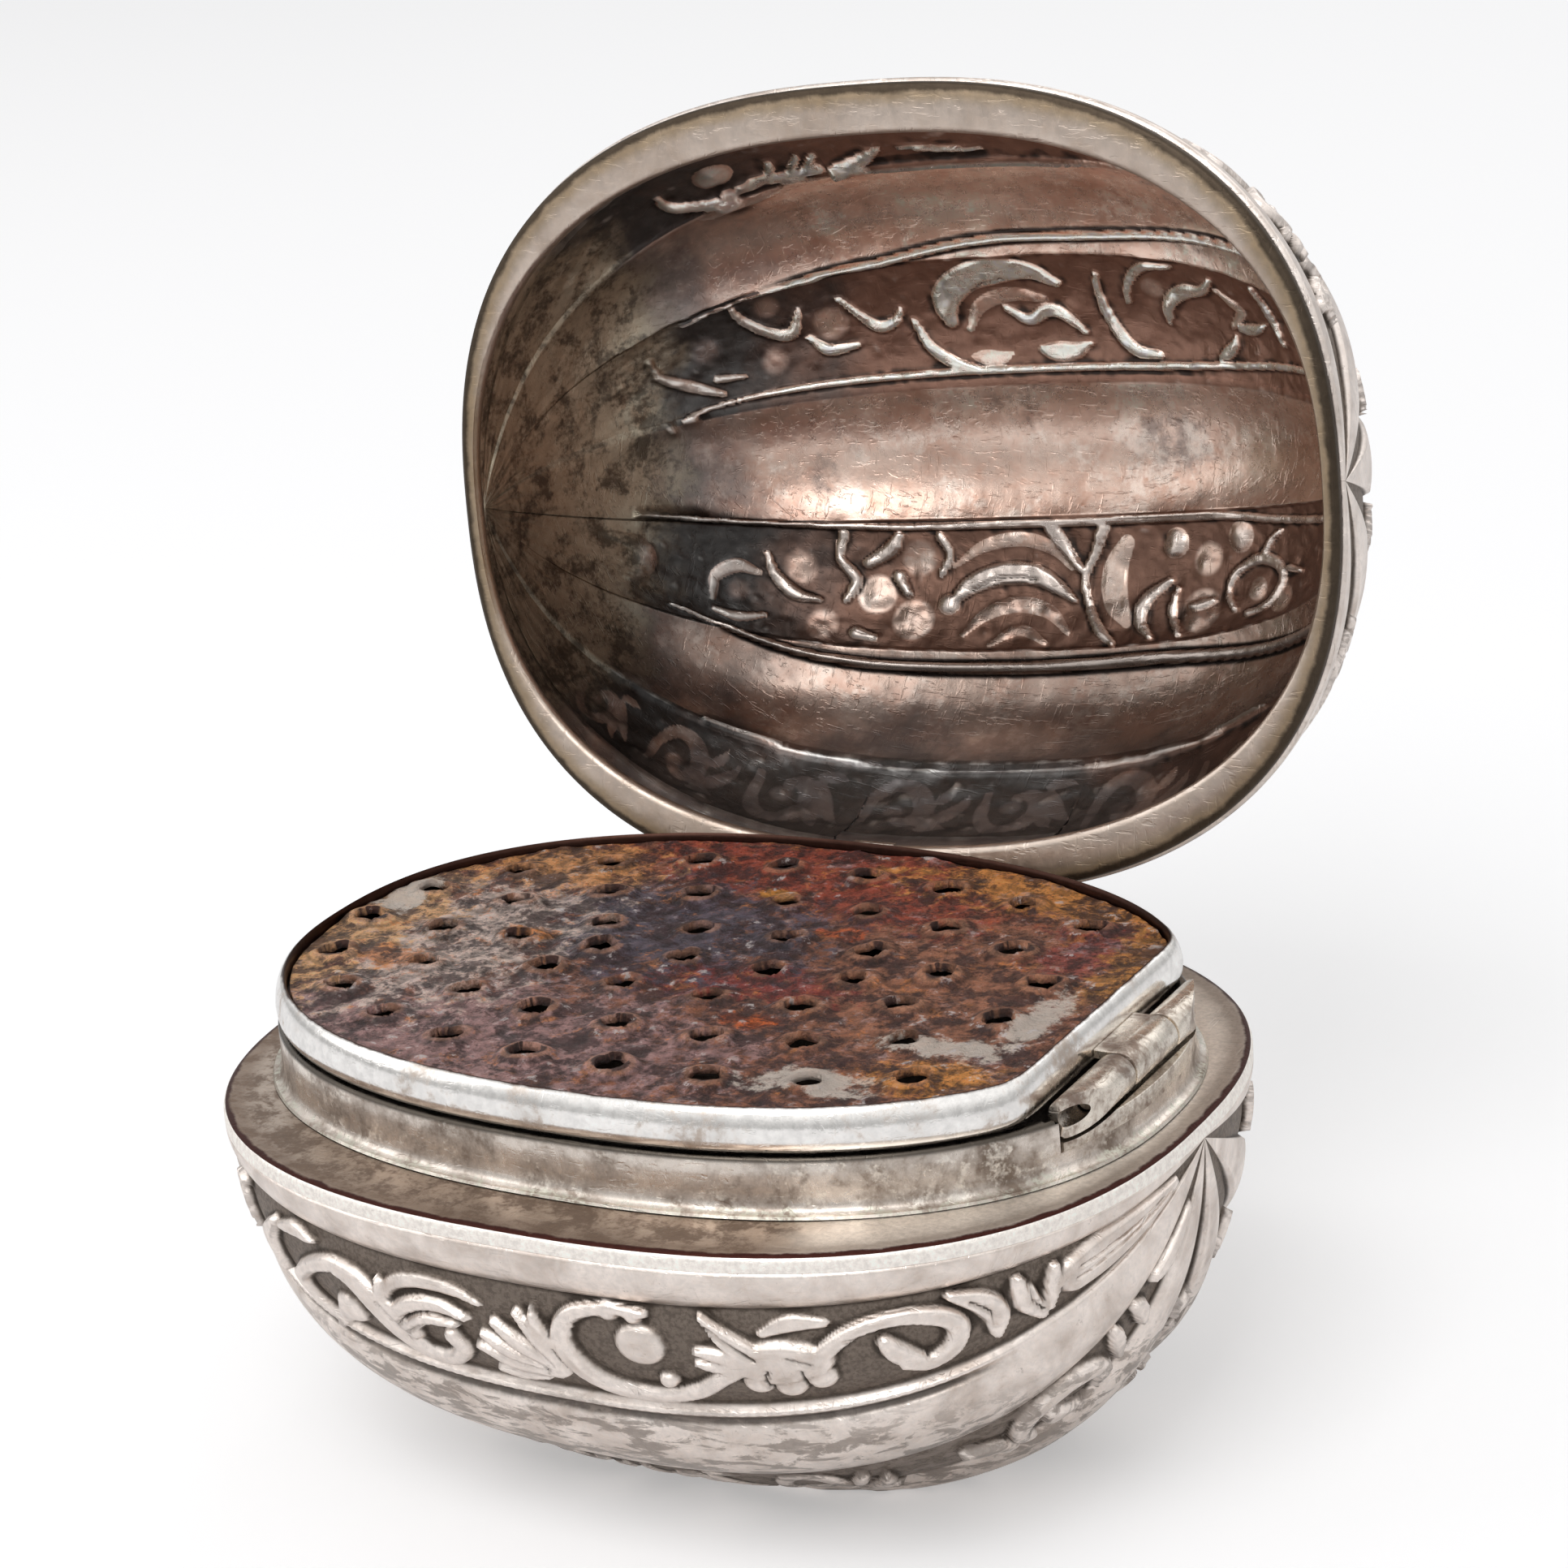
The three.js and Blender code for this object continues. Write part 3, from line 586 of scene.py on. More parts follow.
ledge_sheet = ledge_points()
ledge = bent_grid("ledge_ring", ledge_sheet, 40, ledge_values(ledge_sheet))
finish_piece(ledge, "base", "plain_silver", "base_ledge")

# %% The collar
notch_side, notch_floor = 6.25, 0.9


def collar_ring():
    rise = np.arcsin((notch_side / collar_half_width) ** (collar_power / 2))
    angles = even_angles(300, collar_half_length, collar_half_width, collar_power,
                         either_side(rise, 2 * np.pi - rise))
    section = [(0.42, 0.0), (0.36, 0.1), (0.16, 0.16), (0.06, 0.3), (0.0, 0.5), (0.0, 0.9),
               (0.0, 1.5), (0.0, 2.1), (-0.04, 2.18), (-0.12, 2.22), (-0.4, 2.22), (-0.5, 2.15), (-0.5, 0.0)]
    points = ring_points(on_collar(angles), section)
    in_notch = (points[..., 0] > 12) & (np.abs(points[..., 1]) < notch_side)
    points[..., 2] = np.where(in_notch, np.minimum(points[..., 2], notch_floor), points[..., 2])
    return bent_grid("collar_wall", points, 40)


collar = collar_ring()
finish_piece(collar, "base", "plain_silver", "collar")

# %% The grater's frame
def rounded_corners(outline, first, last, reach=1.3, rounds=14):
    """Draw the two corners at the chord in a little, point by point."""
    corners = outline[[first, last]].copy()
    near = np.min([np.hypot(*(outline - corner).T) for corner in corners], axis=0) < reach
    for _ in range(rounds):
        smoother = (np.roll(outline, 1, 0) + 2 * outline + np.roll(outline, -1, 0)) / 4
        outline = np.where(near[:, None], smoother, outline)
    return outline


def frame_outline(offset):
    half_x, half_y = collar_half_length + offset, collar_half_width + offset
    reach = (frame_chord + offset - collar_shift) / half_x
    first = np.arccos(reach ** (collar_power / 2))
    even = even_angles(300, half_x, half_y, collar_power)
    share = np.interp(even, [0, 2 * np.pi], [first, 2 * np.pi - first])
    arc = oval(share, half_x, half_y, collar_power, collar_shift)
    chord = np.linspace(arc[-1], arc[0], 40)[1:-1]
    rounded = rounded_corners(np.vstack([arc, chord]), 0, len(arc) - 1)
    return np.vstack([rounded, rounded[:1]])


frame_section = [(-0.17, frame_bottom), (-0.1, 2.45), (-0.04, 2.62), (-0.01, 2.82), (0.0, 3.0), (-0.02, 3.22),
                 (-0.06, 3.44), (-0.12, 3.64), (-0.19, 3.81), (-0.27, 3.94), (-0.35, 4.02), (-0.41, 4.05),
                 (-0.46, 4.0), (-frame_lip, 3.88), (-frame_lip, shelf_top), (-1.3, shelf_top),
                 (-1.3, frame_bottom)]
frame_sheet = ring_points(frame_outline, frame_section)
from_plate = np.array([max(0, frame_lip + offset) for offset, _ in frame_section + frame_section[:1]])
frame_ring = bent_grid("grater_frame_ring", frame_sheet, 40, {"from_plate": from_plate[None, :]})
finish_piece(frame_ring, "grater", "bright_silver", "grater_frame")

# %% [markdown]
# ## The punched plate
# The plate is thin sheet iron. Each hole was driven up from below with a square punch, so the metal
# rises to a torn, uneven lip round it, and that lip does the grating. The sheet is a fine grid laid
# out to the frame's outline. A cone of height is added round each hole, the points inside the hole
# are deleted, and the points on its edge are drawn in to a ragged round.

# %% Where the holes are
def hole_places():
    """Rows of holes on ovals, each row one row spacing inside the last, and one row in the middle."""
    places = []
    end_margin, side_margin, smallest_row, chord_margin = 1.15, 2.85, 1.8, 1.8
    half_x = collar_half_length - plate_inset - end_margin
    half_y = collar_half_width - plate_inset - side_margin
    while half_y > smallest_row:
        angles = np.linspace(0, 2 * np.pi, 4001)
        outline = oval(angles, half_x, half_y, collar_power, collar_shift)
        walk = walk_over(outline)
        count = round(walk[-1] / hole_spacing)
        for step in range(count):
            here = walk[-1] * (step + 0.5) / count
            places.append((np.interp(here, walk, outline[:, 0]), np.interp(here, walk, outline[:, 1])))
        half_x -= row_spacing
        half_y -= row_spacing
    middle = max(1, int(2 * half_x / hole_spacing) + 1)
    places += [(collar_shift + (step - (middle - 1) / 2) * hole_spacing, 0.0) for step in range(middle)]
    return [place for place in places if place[0] < frame_chord - frame_lip - plate_gap - chord_margin]


holes = hole_places()
print(len(holes), "holes in the plate")

# %% The plate
def crust(x, y, seed, finest, coarsest, count=36):
    """Lumps without a pattern: many waves in all directions, lengths in mm."""
    chance = np.random.default_rng(seed)
    total = np.zeros(x.shape)
    for turn, length, phase in zip(chance.uniform(0, np.pi, count), chance.uniform(finest, coarsest, count),
                                   chance.uniform(0, 2 * np.pi, count)):
        total += np.sin(2 * np.pi * (x * math.cos(turn) + y * math.sin(turn)) / length + phase)
    return total / math.sqrt(count)


def plate_points():
    half_x, half_y = collar_half_length - plate_inset, collar_half_width - plate_inset
    across = np.sin(np.linspace(-1, 1, 196) * np.pi / 2)
    y = half_y * np.sign(across) * np.abs(across) ** 0.9
    left = collar_shift - half_x * (1 - np.abs(y / half_y) ** collar_power) ** (1 / collar_power)
    right = np.minimum(2 * collar_shift - left, frame_chord - plate_inset)
    share = np.linspace(0, 1, 241)[:, None]
    x = left + (right - left) * share
    return x, np.broadcast_to(y, x.shape)


def plate_heights(x, y):
    lip = np.zeros(x.shape)
    for index, (hx, hy) in enumerate(holes):
        away = np.hypot(x - hx, y - hy)
        turn = np.arctan2(y - hy, x - hx)
        ragged = 1 + 0.1 * np.sin(2 * turn + index) + 0.07 * np.sin(3 * turn + 2.3 * index)
        cone = eased(np.clip(1 - (away - hole_radius) / (burr_reach * ragged), 0, 1))
        lip = np.maximum(lip, (0.86 + 0.14 * np.sin(5.1 * index)) * ragged * cone)
    lumps = crust(x, y, 5, 0.5, 1.6)
    rise = 0.05 * crust(x, y, 3, 2.5, 6) + 0.032 * lumps * (1 - 0.6 * np.clip(lip, 0, 1))
    return rise + 0.27 * lip - 0.05, np.clip(lip, 0, 1), np.clip(0.5 + 0.35 * lumps, 0, 1)


def punched_plate():
    x, y = plate_points()
    height, lip, lump = plate_heights(x, y)
    top = np.stack([x, y, np.clip(plate_top + height, shelf_top + 0.38, burr_top)], -1)
    return top, lip, lump


top_sheet, lip_value, lump_value = punched_plate()
print("the plate's sheet has", top_sheet.shape[0], "by", top_sheet.shape[1], "points")

# %% Punch it
def round_holes(mesh):
    """Draw the points on each hole's edge to a ragged round."""
    faces_at = {}
    for polygon in mesh.polygons:
        for key in polygon.edge_keys:
            faces_at[key] = faces_at.get(key, 0) + 1
    border = {vertex for key, count in faces_at.items() if count == 1 for vertex in key}
    moved = 0
    for index in border:
        point = mesh.vertices[index].co
        x, y = point.x / MM, point.y / MM
        hole = min(range(len(holes)), key=lambda k: (x - holes[k][0]) ** 2 + (y - holes[k][1]) ** 2)
        hx, hy = holes[hole]
        if math.hypot(x - hx, y - hy) > 1.0:
            continue
        turn = math.atan2(y - hy, x - hx)
        radius = hole_radius + 0.05 * math.sin(3 * turn + hole) + 0.03 * math.sin(5 * turn + 2 * hole)
        point.x = (hx + radius * math.cos(turn)) * MM
        point.y = (hy + radius * math.sin(turn)) * MM
        moved += 1
    print(moved, "points drawn to the holes' edges")


def punch(name, sheet, thickness, cut_radius=0.63):
    """A grid bent to the sheet, holes cut, and the whole thickened downwards."""
    plate = bent_grid(name, sheet, values={"lip": lip_value, "lump": lump_value})
    mesh = plate.data
    points = np.empty(3 * len(mesh.vertices))
    mesh.vertices.foreach_get("co", points)
    points = points.reshape(-1, 3) / MM
    nearest = np.full(len(points), 99.0)
    for hx, hy in holes:
        nearest = np.minimum(nearest, np.hypot(points[:, 0] - hx, points[:, 1] - hy))
    clear_selection()
    plate.select_set(True)
    bpy.context.view_layer.objects.active = plate
    bpy.ops.object.mode_set(mode="EDIT")
    bpy.ops.mesh.select_mode(type="VERT")
    bpy.ops.mesh.select_all(action="DESELECT")
    bpy.ops.object.mode_set(mode="OBJECT")
    mesh.vertices.foreach_set("select", nearest < cut_radius)
    bpy.ops.object.mode_set(mode="EDIT")
    bpy.ops.mesh.delete(type="VERT")
    bpy.ops.object.mode_set(mode="OBJECT")
    round_holes(mesh)
    bpy.ops.object.mode_set(mode="EDIT")
    bpy.ops.mesh.select_all(action="SELECT")
    bpy.ops.mesh.delete_loose(use_verts=True, use_edges=True, use_faces=False)
    bpy.ops.object.mode_set(mode="OBJECT")
    wall = plate.modifiers.new("wall", "SOLIDIFY")
    wall.thickness, wall.offset = thickness * MM, -1
    bpy.ops.object.modifier_apply(modifier="wall")
    return plate


plate = punch("punched_plate", top_sheet, plate_thickness)
finish_piece(plate, "grater", "rusty_iron", "grater_plate")

# %% [markdown]
# ## The grater's hinge
# At the pole the collar is cut down, and a half-round gutter is soldered in for the barrel. The two
# outer knuckles belong to the collar, and the old maker filed their ends to the collar's oval, so
# each end is a slanting open ring. The middle knuckle hangs on the frame.

# %% Gutter
gutter_radius, gutter_side = 0.95, 16.15


def gutter_points():
    lip = 1.6
    spread_x = math.sqrt(gutter_radius**2 - (pivot_z - lip) ** 2)
    start = math.atan2(lip - pivot_z, -spread_x) % (2 * math.pi)
    columns = []
    for y in np.linspace(-barrel_half_length, barrel_half_length, 61):
        limit = float(collar_reach(y))
        outer = min(pivot_x + spread_x, limit)
        end = 2 * math.pi - math.acos(min(1, (outer - pivot_x) / gutter_radius))
        arc = [(pivot_x + gutter_radius * math.cos(t), pivot_z + gutter_radius * math.sin(t))
               for t in np.linspace(start, end, 25)]
        height = arc[-1][1]
        profile = [(gutter_side, notch_floor), (gutter_side, lip - 0.05), (16.2, lip)] + arc
        profile += [(max(limit - 0.03, arc[-1][0]), height), (limit, height - 0.03), (limit, notch_floor)]
        columns.append([(x, y, z) for x, z in profile + profile[:1]])
    return np.array(columns)


def capped(points):
    """Close both ends of a tube of columns by drawing each end together on its own middle."""
    first = np.broadcast_to(points[:1].mean(1, keepdims=True), points[:1].shape)
    last = np.broadcast_to(points[-1:].mean(1, keepdims=True), points[-1:].shape)
    return np.concatenate([first, points, last], 0)


gutter = bent_grid("hinge_trough", capped(gutter_points()), 35)
finish_piece(gutter, "base", "hinge_silver", "hinge_gutter")

# %% Knuckles
def tube_points(low, high, radius, bore, trim=False):
    """A tube along Y round the grater's pivot; trim files its ends to the collar's oval."""
    turns = np.linspace(0, 2 * np.pi, 57)
    soft = 0.06
    section = [(bore, low), (radius - soft, low), (radius - 0.3 * soft, low + 0.3 * soft),
               (radius, low + soft), (radius, high - soft), (radius - 0.3 * soft, high - 0.3 * soft),
               (radius - soft, high), (bore, high), (bore, low)]
    points = np.array([[(pivot_x + r * math.cos(t), y, pivot_z + r * math.sin(t)) for r, y in section]
                       for t in turns])
    if trim:
        share = np.clip((points[..., 0] - collar_shift) / collar_half_length, 0, 1) ** collar_power
        edge = collar_half_width * (1 - share) ** (1 / collar_power)
        points[..., 1] = np.clip(points[..., 1], -edge, edge)
    return points


def knuckle_tube(name, low, high, trim=False):
    return bent_grid(name, tube_points(low, high, barrel_radius, bore_radius, trim), 35)


front_knuckle = knuckle_tube("front_knuckle", -barrel_half_length, front_knuckle_end, True)
finish_piece(front_knuckle, "base", "hinge_silver", "collar_knuckle_front")
back_knuckle = knuckle_tube("back_knuckle", back_knuckle_end, barrel_half_length, True)
finish_piece(back_knuckle, "base", "hinge_silver", "collar_knuckle_back")

# %% The frame's knuckle and its strap
def join_pieces(name, *parts):
    clear_selection()
    for part in parts:
        part.select_set(True)
    bpy.context.view_layer.objects.active = parts[0]
    bpy.ops.object.join()
    parts[0].name = parts[0].data.name = name
    return parts[0]


def soft_block(low, high, soft=0.05):
    """A box with its edges eased, from one corner to the other in mm above the rim plane."""
    clear_selection()
    size = [(b - a) * MM for a, b in zip(low, high)]
    centre = [(a + b) / 2 * MM for a, b in zip(low, high)]
    centre[2] += rim_height * MM
    bpy.ops.mesh.primitive_cube_add(size=1, location=centre, scale=size)
    block = bpy.context.object
    bpy.ops.object.transform_apply(location=True, rotation=True, scale=True)
    bpy.ops.object.mode_set(mode="EDIT")
    bpy.ops.mesh.select_all(action="SELECT")
    bpy.ops.mesh.bevel(offset=soft * MM, segments=2, affect="EDGES")
    bpy.ops.object.mode_set(mode="OBJECT")
    return block


strap = soft_block((frame_chord, middle_knuckle_low, 2.6), (pivot_x, middle_knuckle_high, 2.98))
barrel = knuckle_tube("frame_barrel", middle_knuckle_low, middle_knuckle_high)
middle_knuckle = join_pieces("middle_knuckle", barrel, strap)
finish_piece(middle_knuckle, "grater", "hinge_silver", "frame_knuckle")

# %% [markdown]
# ## The lid
# The lid is thin, so the chasing done from outside shows in reverse inside, and the open lid shows
# its inside. It is made as two skins with a hair between them: the outside, and a lining with its
# own drawing of the marks that the light picks out. Both are drawn closed, as on the drawing, and
# then turned back on the skewed hinge. Angles run from the rim that is at the top when it is open.

# %% Turning the lid open
swing, skew = math.radians(lid_opening), math.radians(hinge_skew)


def turned(first, second, angle):
    """Two coordinates, measured along axes that are turned by the angle."""
    return (math.cos(angle) * first + math.sin(angle) * second,
            -math.sin(angle) * first + math.cos(angle) * second)


def opened(points):
    """Points of the closed lid, swung open about the skewed hinge."""
    centre = np.array([0, hinge_y, hinge_z])
    q = points - centre
    x, y = turned(q[..., 0], q[..., 1], skew)
    y, z = turned(y, q[..., 2], swing)
    return np.stack([*turned(x, y, -skew), z], -1) + centre


def notch_end(columns):
    """The last angle of the lid's rows: the back rim is cut back where the hinge is."""
    turn = np.interp(columns, walked, meridian)
    x = nut_half_length * signed_power(np.sin(turn), 2 / nut_power)
    return np.where(np.abs(x) < notch_half, 180 - 5.6, 180.0)


def along_of(x):
    turn = np.arcsin((abs(x) / nut_half_length) ** (nut_power / 2))
    return math.copysign(float(np.interp(turn, meridian, walked)), x)


notch_columns = either_side(along_of(-notch_half), along_of(notch_half), step=0.01)
print("the notch for the hinge spans", 2 * notch_half, "mm")

# %% Marks inside the lid
lining_strokes = [
    # The band next to the top rim
    bead(-10.2, 25.6, 0.75),
    stroke([(-12.9, 23.5), (-12.8, 28), (-11.6, 31.5), (-10.4, 33)], [0.15, 0.26, 0.3, 0.3]),
    bead(-10.1, 32.4, 0.4),
    stroke([(-9.4, 31.6), (-8.2, 31), (-7.2, 32), (-5.6, 31.6)], [0.3, 0.34, 0.36, 0.25]),
    leaf((-8.0, 31), (-7.6, 26), 0.1, 0.22), leaf((-7.0, 31), (-6.2, 26.5), 0.1, 0.22),
    leaf((-6.2, 31), (-5.4, 27), 0.1, 0.2),
    stroke([(-4.9, 32.8), (-3.6, 31.6), (-2.4, 28.6)], [0.34, 0.4, 0.14]),
    stroke([(-1.4, 29), (0.4, 30.2), (2.4, 31)], [0.1, 0.22, 0.1]),
    # The second band
    stroke([(-17.2, 63), (-16.9, 68), (-15.4, 72.4), (-14.0, 75.4)], [0.12, 0.2, 0.26, 0.14]),
    stroke([(-14.2, 72.2), (-12.9, 73)], [0.18, 0.12]), bead(-14.4, 66, 0.8, 0.5),
    stroke([(-12.6, 58.4), (-12.3, 62), (-11.2, 66), (-10.2, 66.8), (-9.6, 62.6)],
           [0.14, 0.22, 0.26, 0.28, 0.12]),
    bead(-11.0, 60.5, 0.7, 0.45), bead(-8.3, 66.5, 0.85, 0.5), bead(-11.3, 71.5, 0.75, 0.45),
    stroke([(-9.5, 68.4), (-8.6, 71.2), (-7.2, 71)], [0.12, 0.26, 0.12]),
    stroke([(-7.6, 62), (-6.9, 65.4), (-6.1, 68.2), (-5.2, 67.6), (-4.8, 65.6)], [0.12, 0.18, 0.26, 0.22, 0.1]),
    stroke([(-4.3, 68), (-3.8, 72.2), (-2.8, 75.2), (-1.4, 77)], [0.14, 0.24, 0.28, 0.2]),
    stroke([(-2.5, 68.6), (-2.5, 64.6), (-1.4, 61), (0.2, 59.4), (1.9, 59.8), (3.2, 62.4)],
           [0.3, 0.62, 0.7, 0.72, 0.5, 0.2]),
    stroke([(-1.6, 70), (-0.9, 66.2), (0.6, 64.4), (2.4, 65.4)], [0.2, 0.36, 0.4, 0.2], 0.6),
    stroke([(0.4, 66.8), (1.4, 68.9), (2.5, 67.4), (3.4, 68.8), (4.1, 71.4)], [0.16, 0.26, 0.32, 0.24, 0.12]),
    leaf((1.8, 74), (4.4, 73), 0.3, 0.46, 0.8), leaf((-1.6, 74.6), (0.4, 74.4), 0.2, 0.4, 0.6),
    stroke([(5.3, 60.6), (5.2, 65), (5.6, 70), (6.6, 74.2), (7.8, 75)], [0.14, 0.22, 0.28, 0.3, 0.2]),
    stroke([(6.6, 66), (6.9, 61.8), (7.9, 58.4), (9.3, 57.8)], [0.12, 0.2, 0.24, 0.14]),
    bead(8.0, 63, 0.62, 0.45), stroke([(8.6, 69.2), (8.8, 65.6), (9.7, 63), (10.8, 62), (11.4, 59.4)],
                                      [0.12, 0.28, 0.36, 0.26, 0.12]),
    stroke([(11.6, 61.5), (12.8, 64.8), (12.2, 68.4)], [0.14, 0.3, 0.14], 0.7),
    leaf((11.2, 74.6), (12.4, 69.8), 0.2, 0.28), leaf((12.6, 68.4), (14.4, 66), 0.2, 0.26),
    stroke([(14.1, 57.6), (14.9, 63), (15.6, 69)], [0.14, 0.26, 0.14]),
    # The third band
    stroke([(-20.5, 106), (-18.8, 108), (-18.4, 112.4), (-19.2, 117)], [0.2, 0.4, 0.45, 0.2], 0.6),
    stroke([(-15, 117.4), (-15, 112.6), (-14, 110), (-12.9, 111)], [0.14, 0.3, 0.34, 0.16], 0.7),
    bead(-13.9, 115, 0.7, 0.45),
    stroke([(-14.8, 119.6), (-13.6, 120.4), (-12.4, 119.2)], [0.14, 0.24, 0.14], 0.8),
    stroke([(-12.5, 107.4), (-12.1, 111.2), (-11.1, 114.4), (-9.9, 115.2)], [0.14, 0.24, 0.28, 0.14]),
    bead(-10.9, 109.5, 0.85, 0.5), bead(-9.6, 119.6, 0.8, 0.5),
    stroke([(-8.8, 103.6), (-9, 107.6), (-8.2, 111.2), (-8.6, 115)], [0.24, 0.2, 0.26, 0.14]),
    stroke([(-7.6, 108.4), (-6.5, 106), (-6.1, 103.8)], [0.26, 0.34, 0.2]),
    bead(-5.1, 107.6, 0.85, 0.5), stroke([(-4.1, 104), (-3.6, 107), (-4.0, 110.4)], [0.2, 0.18, 0.12]),
    bead(-7.1, 113.7, 0.85, 0.62), stroke([(-6.1, 110.6), (-5.6, 113.4)], [0.28, 0.2]),
    stroke([(-7.9, 120.8), (-7, 121.6)], [0.28, 0.2]), bead(-5.2, 118, 0.9, 0.62),
    bead(-3.5, 115.2, 0.42), stroke([(-3.3, 114.6), (-2.4, 111.8), (-0.9, 110.3), (0.7, 110.5), (2.0, 112.8),
                                     (2.8, 115)], [0.2, 0.42, 0.5, 0.46, 0.3, 0.12]),
    stroke([(-3.4, 109), (-1.9, 105.8), (0, 104.8), (1.6, 106.4), (2.6, 109.8)],
           [0.12, 0.3, 0.34, 0.3, 0.12], 0.6),
    stroke([(-2.6, 120.6), (-1.6, 117), (0, 115.4), (1.6, 116.8), (2.7, 120.6)],
           [0.15, 0.34, 0.4, 0.34, 0.15], 0.6),
    stroke([(-1.2, 122.4), (0.2, 119.8), (1.6, 122.2)], [0.15, 0.3, 0.15], 0.6),
    stroke([(1.6, 103.2), (2.3, 106.6), (3.2, 110.4)], [0.36, 0.26, 0.14]),
    stroke([(4.2, 103.4), (3.8, 107), (3.3, 111), (3.6, 116), (4.3, 120.4), (5.1, 123)],
           [0.3, 0.22, 0.18, 0.2, 0.24, 0.14]),
    stroke([(5.4, 106), (4.8, 110), (4.9, 115), (5.6, 119)], [0.4, 0.62, 0.62, 0.3], 0.6),
    stroke([(7.7, 112.6), (6.6, 115.4), (6.3, 119), (7, 122.4)], [0.18, 0.34, 0.3, 0.12]),
    bead(8.0, 106.4, 0.55), bead(9.8, 109.4, 0.75, 0.55),
    stroke([(8.2, 114), (8, 118), (8.5, 122.6)], [0.12, 0.2, 0.14]),
    bead(9.6, 118.4, 0.95, 0.62), leaf((9.0, 117.4), (10.4, 116.4), 0.1, 0.22), bead(11.7, 106.2, 0.6, 0.8),
    stroke([(11.6, 119.4), (11.1, 115.4), (11.7, 112), (13, 110.6), (14.2, 112.4), (14.6, 116), (13.8, 119.6),
            (12.4, 120.6)], [0.14, 0.2, 0.24, 0.28, 0.26, 0.22, 0.18]),
    bead(12.9, 116.2, 0.5, 0.6), stroke([(13.2, 110), (13.7, 107.4), (14.3, 106)], [0.24, 0.18, 0.1]),
    bead(14.6, 119.4, 0.6, 0.7), stroke([(15, 113.6), (16, 115)], [0.16, 0.1]),
] + [(line, 0.5 * top) for line, top in running_band(148.5, 166.5, whole_length)]
lining_veins = [stroke([(-1.9, 66), (-0.8, 62.4), (0.6, 61)], 0.1),
                stroke([(-2.4, 113), (-0.8, 111), (0.8, 111.4)], 0.08)]
print(len(lining_strokes), "marks in the lining")

# %% Both skins of the lid
def lid_rows(columns, rows):
    """Rows of angles for each column, drawn in at the notch."""
    end = notch_end(columns)[:, None]
    squeeze = np.clip((rows[None, :] - 150) / 30, 0, 1)
    return rows[None, :] - (180 - end) * squeeze


def lid_sheet(columns, rows, inset, smooth_end=False):
    along = np.broadcast_to(columns[:, None], (len(columns), len(rows)))
    size = tuple(value - inset for value in (nut_half_length, nut_half_width, lid_depth))
    furrowed = nut_surface(along, lid_rows(columns, rows), size, lid_rim, 1, lid_furrows)
    if not smooth_end:
        return furrowed
    smaller = (size[0], size[1] - lobe_rise, size[2] - lobe_rise)
    plain = nut_surface(along, lid_rows(columns, rows), smaller, lid_rim, 1, None)
    share = np.clip((-17.5 - along) / 4, 0, 1)[..., None]
    return furrowed * (1 - share) + plain * share


def raise_sheet(points, rows, direction, height):
    fixed = np.clip(rows / 2, 0, 1) * np.clip((180 - rows) / 2, 0, 1)
    outward = -outward_sign(points, lid_rim)
    return points + normals_of(points) * (direction * outward * height * fixed[None, :])[..., None]


def lid_skin(name, outer, inner, stands, hollow):
    plain = np.ones(inner.shape[:2])
    values = {"stands": closed(stands, plain), "hollow": closed(hollow, 0.5 * plain)}
    return bent_grid(name, opened(closed(outer, inner[:, ::-1])), values=values)


lid_edges = [0, *furrow_edges(lid_furrows)[1:-1], 180]


def rows_by_gore(*steps):
    """Rows for the lid, with one number of steps for each lobe and band from the rim round."""
    return rows_between(*zip(lid_edges, lid_edges[1:], steps))


few_rows = rows_by_gore(2, 4, 4, 4, 4, 4, 4, 4, 2)
print(len(few_rows), "rows on the plain side of each skin")

# %% The lid's outside
def lid_outside():
    columns = columns_between((-pole, 0, 0.26), (0, pole, 0.2), extra=notch_columns)
    rows = rows_by_gore(6, 42, 12, 42, 12, 42, 12, 36, 8)
    strokes = sum((running_band(low + 2.2, low + 20.3, whole_length) for low in lid_edges[1:-1:2]), [])
    along, angle = np.meshgrid(columns, rows, indexing="ij")
    height, stands, hollow = carved_heights(along, angle, lid_furrows, strokes, [])
    outer = raise_sheet(lid_sheet(columns, rows, 0.0), rows, 1, height)
    return lid_skin("lid_outside", outer, lid_sheet(columns, few_rows, lid_wall), stands, hollow)


outside_skin = lid_outside()
finish_piece(outside_skin, "lid", "carved_silver", "lid_shell")

# %% The lid's lining
ridge_lines = [
    stroke([(-15, 58), (-8, 56), (-5, 55.6), (0, 53.4), (6, 52.8), (11, 50.8), (16, 48.6)],
           [0.1, 0.24, 0.24, 0.2]),
    stroke([(-17, 80), (-13, 77.2), (5, 77), (11, 76), (14.5, 74.3), (18, 72)], [0.1, 0.24, 0.24, 0.2]),
    stroke([(-19, 100.6), (-8.5, 102.3), (0, 102.4), (10, 102.3), (14, 103.8), (18, 105.5)],
           [0.1, 0.24, 0.26, 0.22]),
    stroke([(-17, 121), (-10, 125.8), (0, 126.5), (8, 126.3), (15, 129.6), (19, 132)], [0.1, 0.3, 0.34, 0.24]),
    stroke([(-14, 36), (-6, 34.4), (4, 33.6), (12, 33)], [0.1, 0.2, 0.1], 0.7),
    stroke([(-14, 146), (-4, 147.4), (8, 147.2), (15, 146)], [0.1, 0.22, 0.1], 0.7),
]


def widened(strokes, share):
    return [(line * (1, 1, share), top) for line, top in strokes]


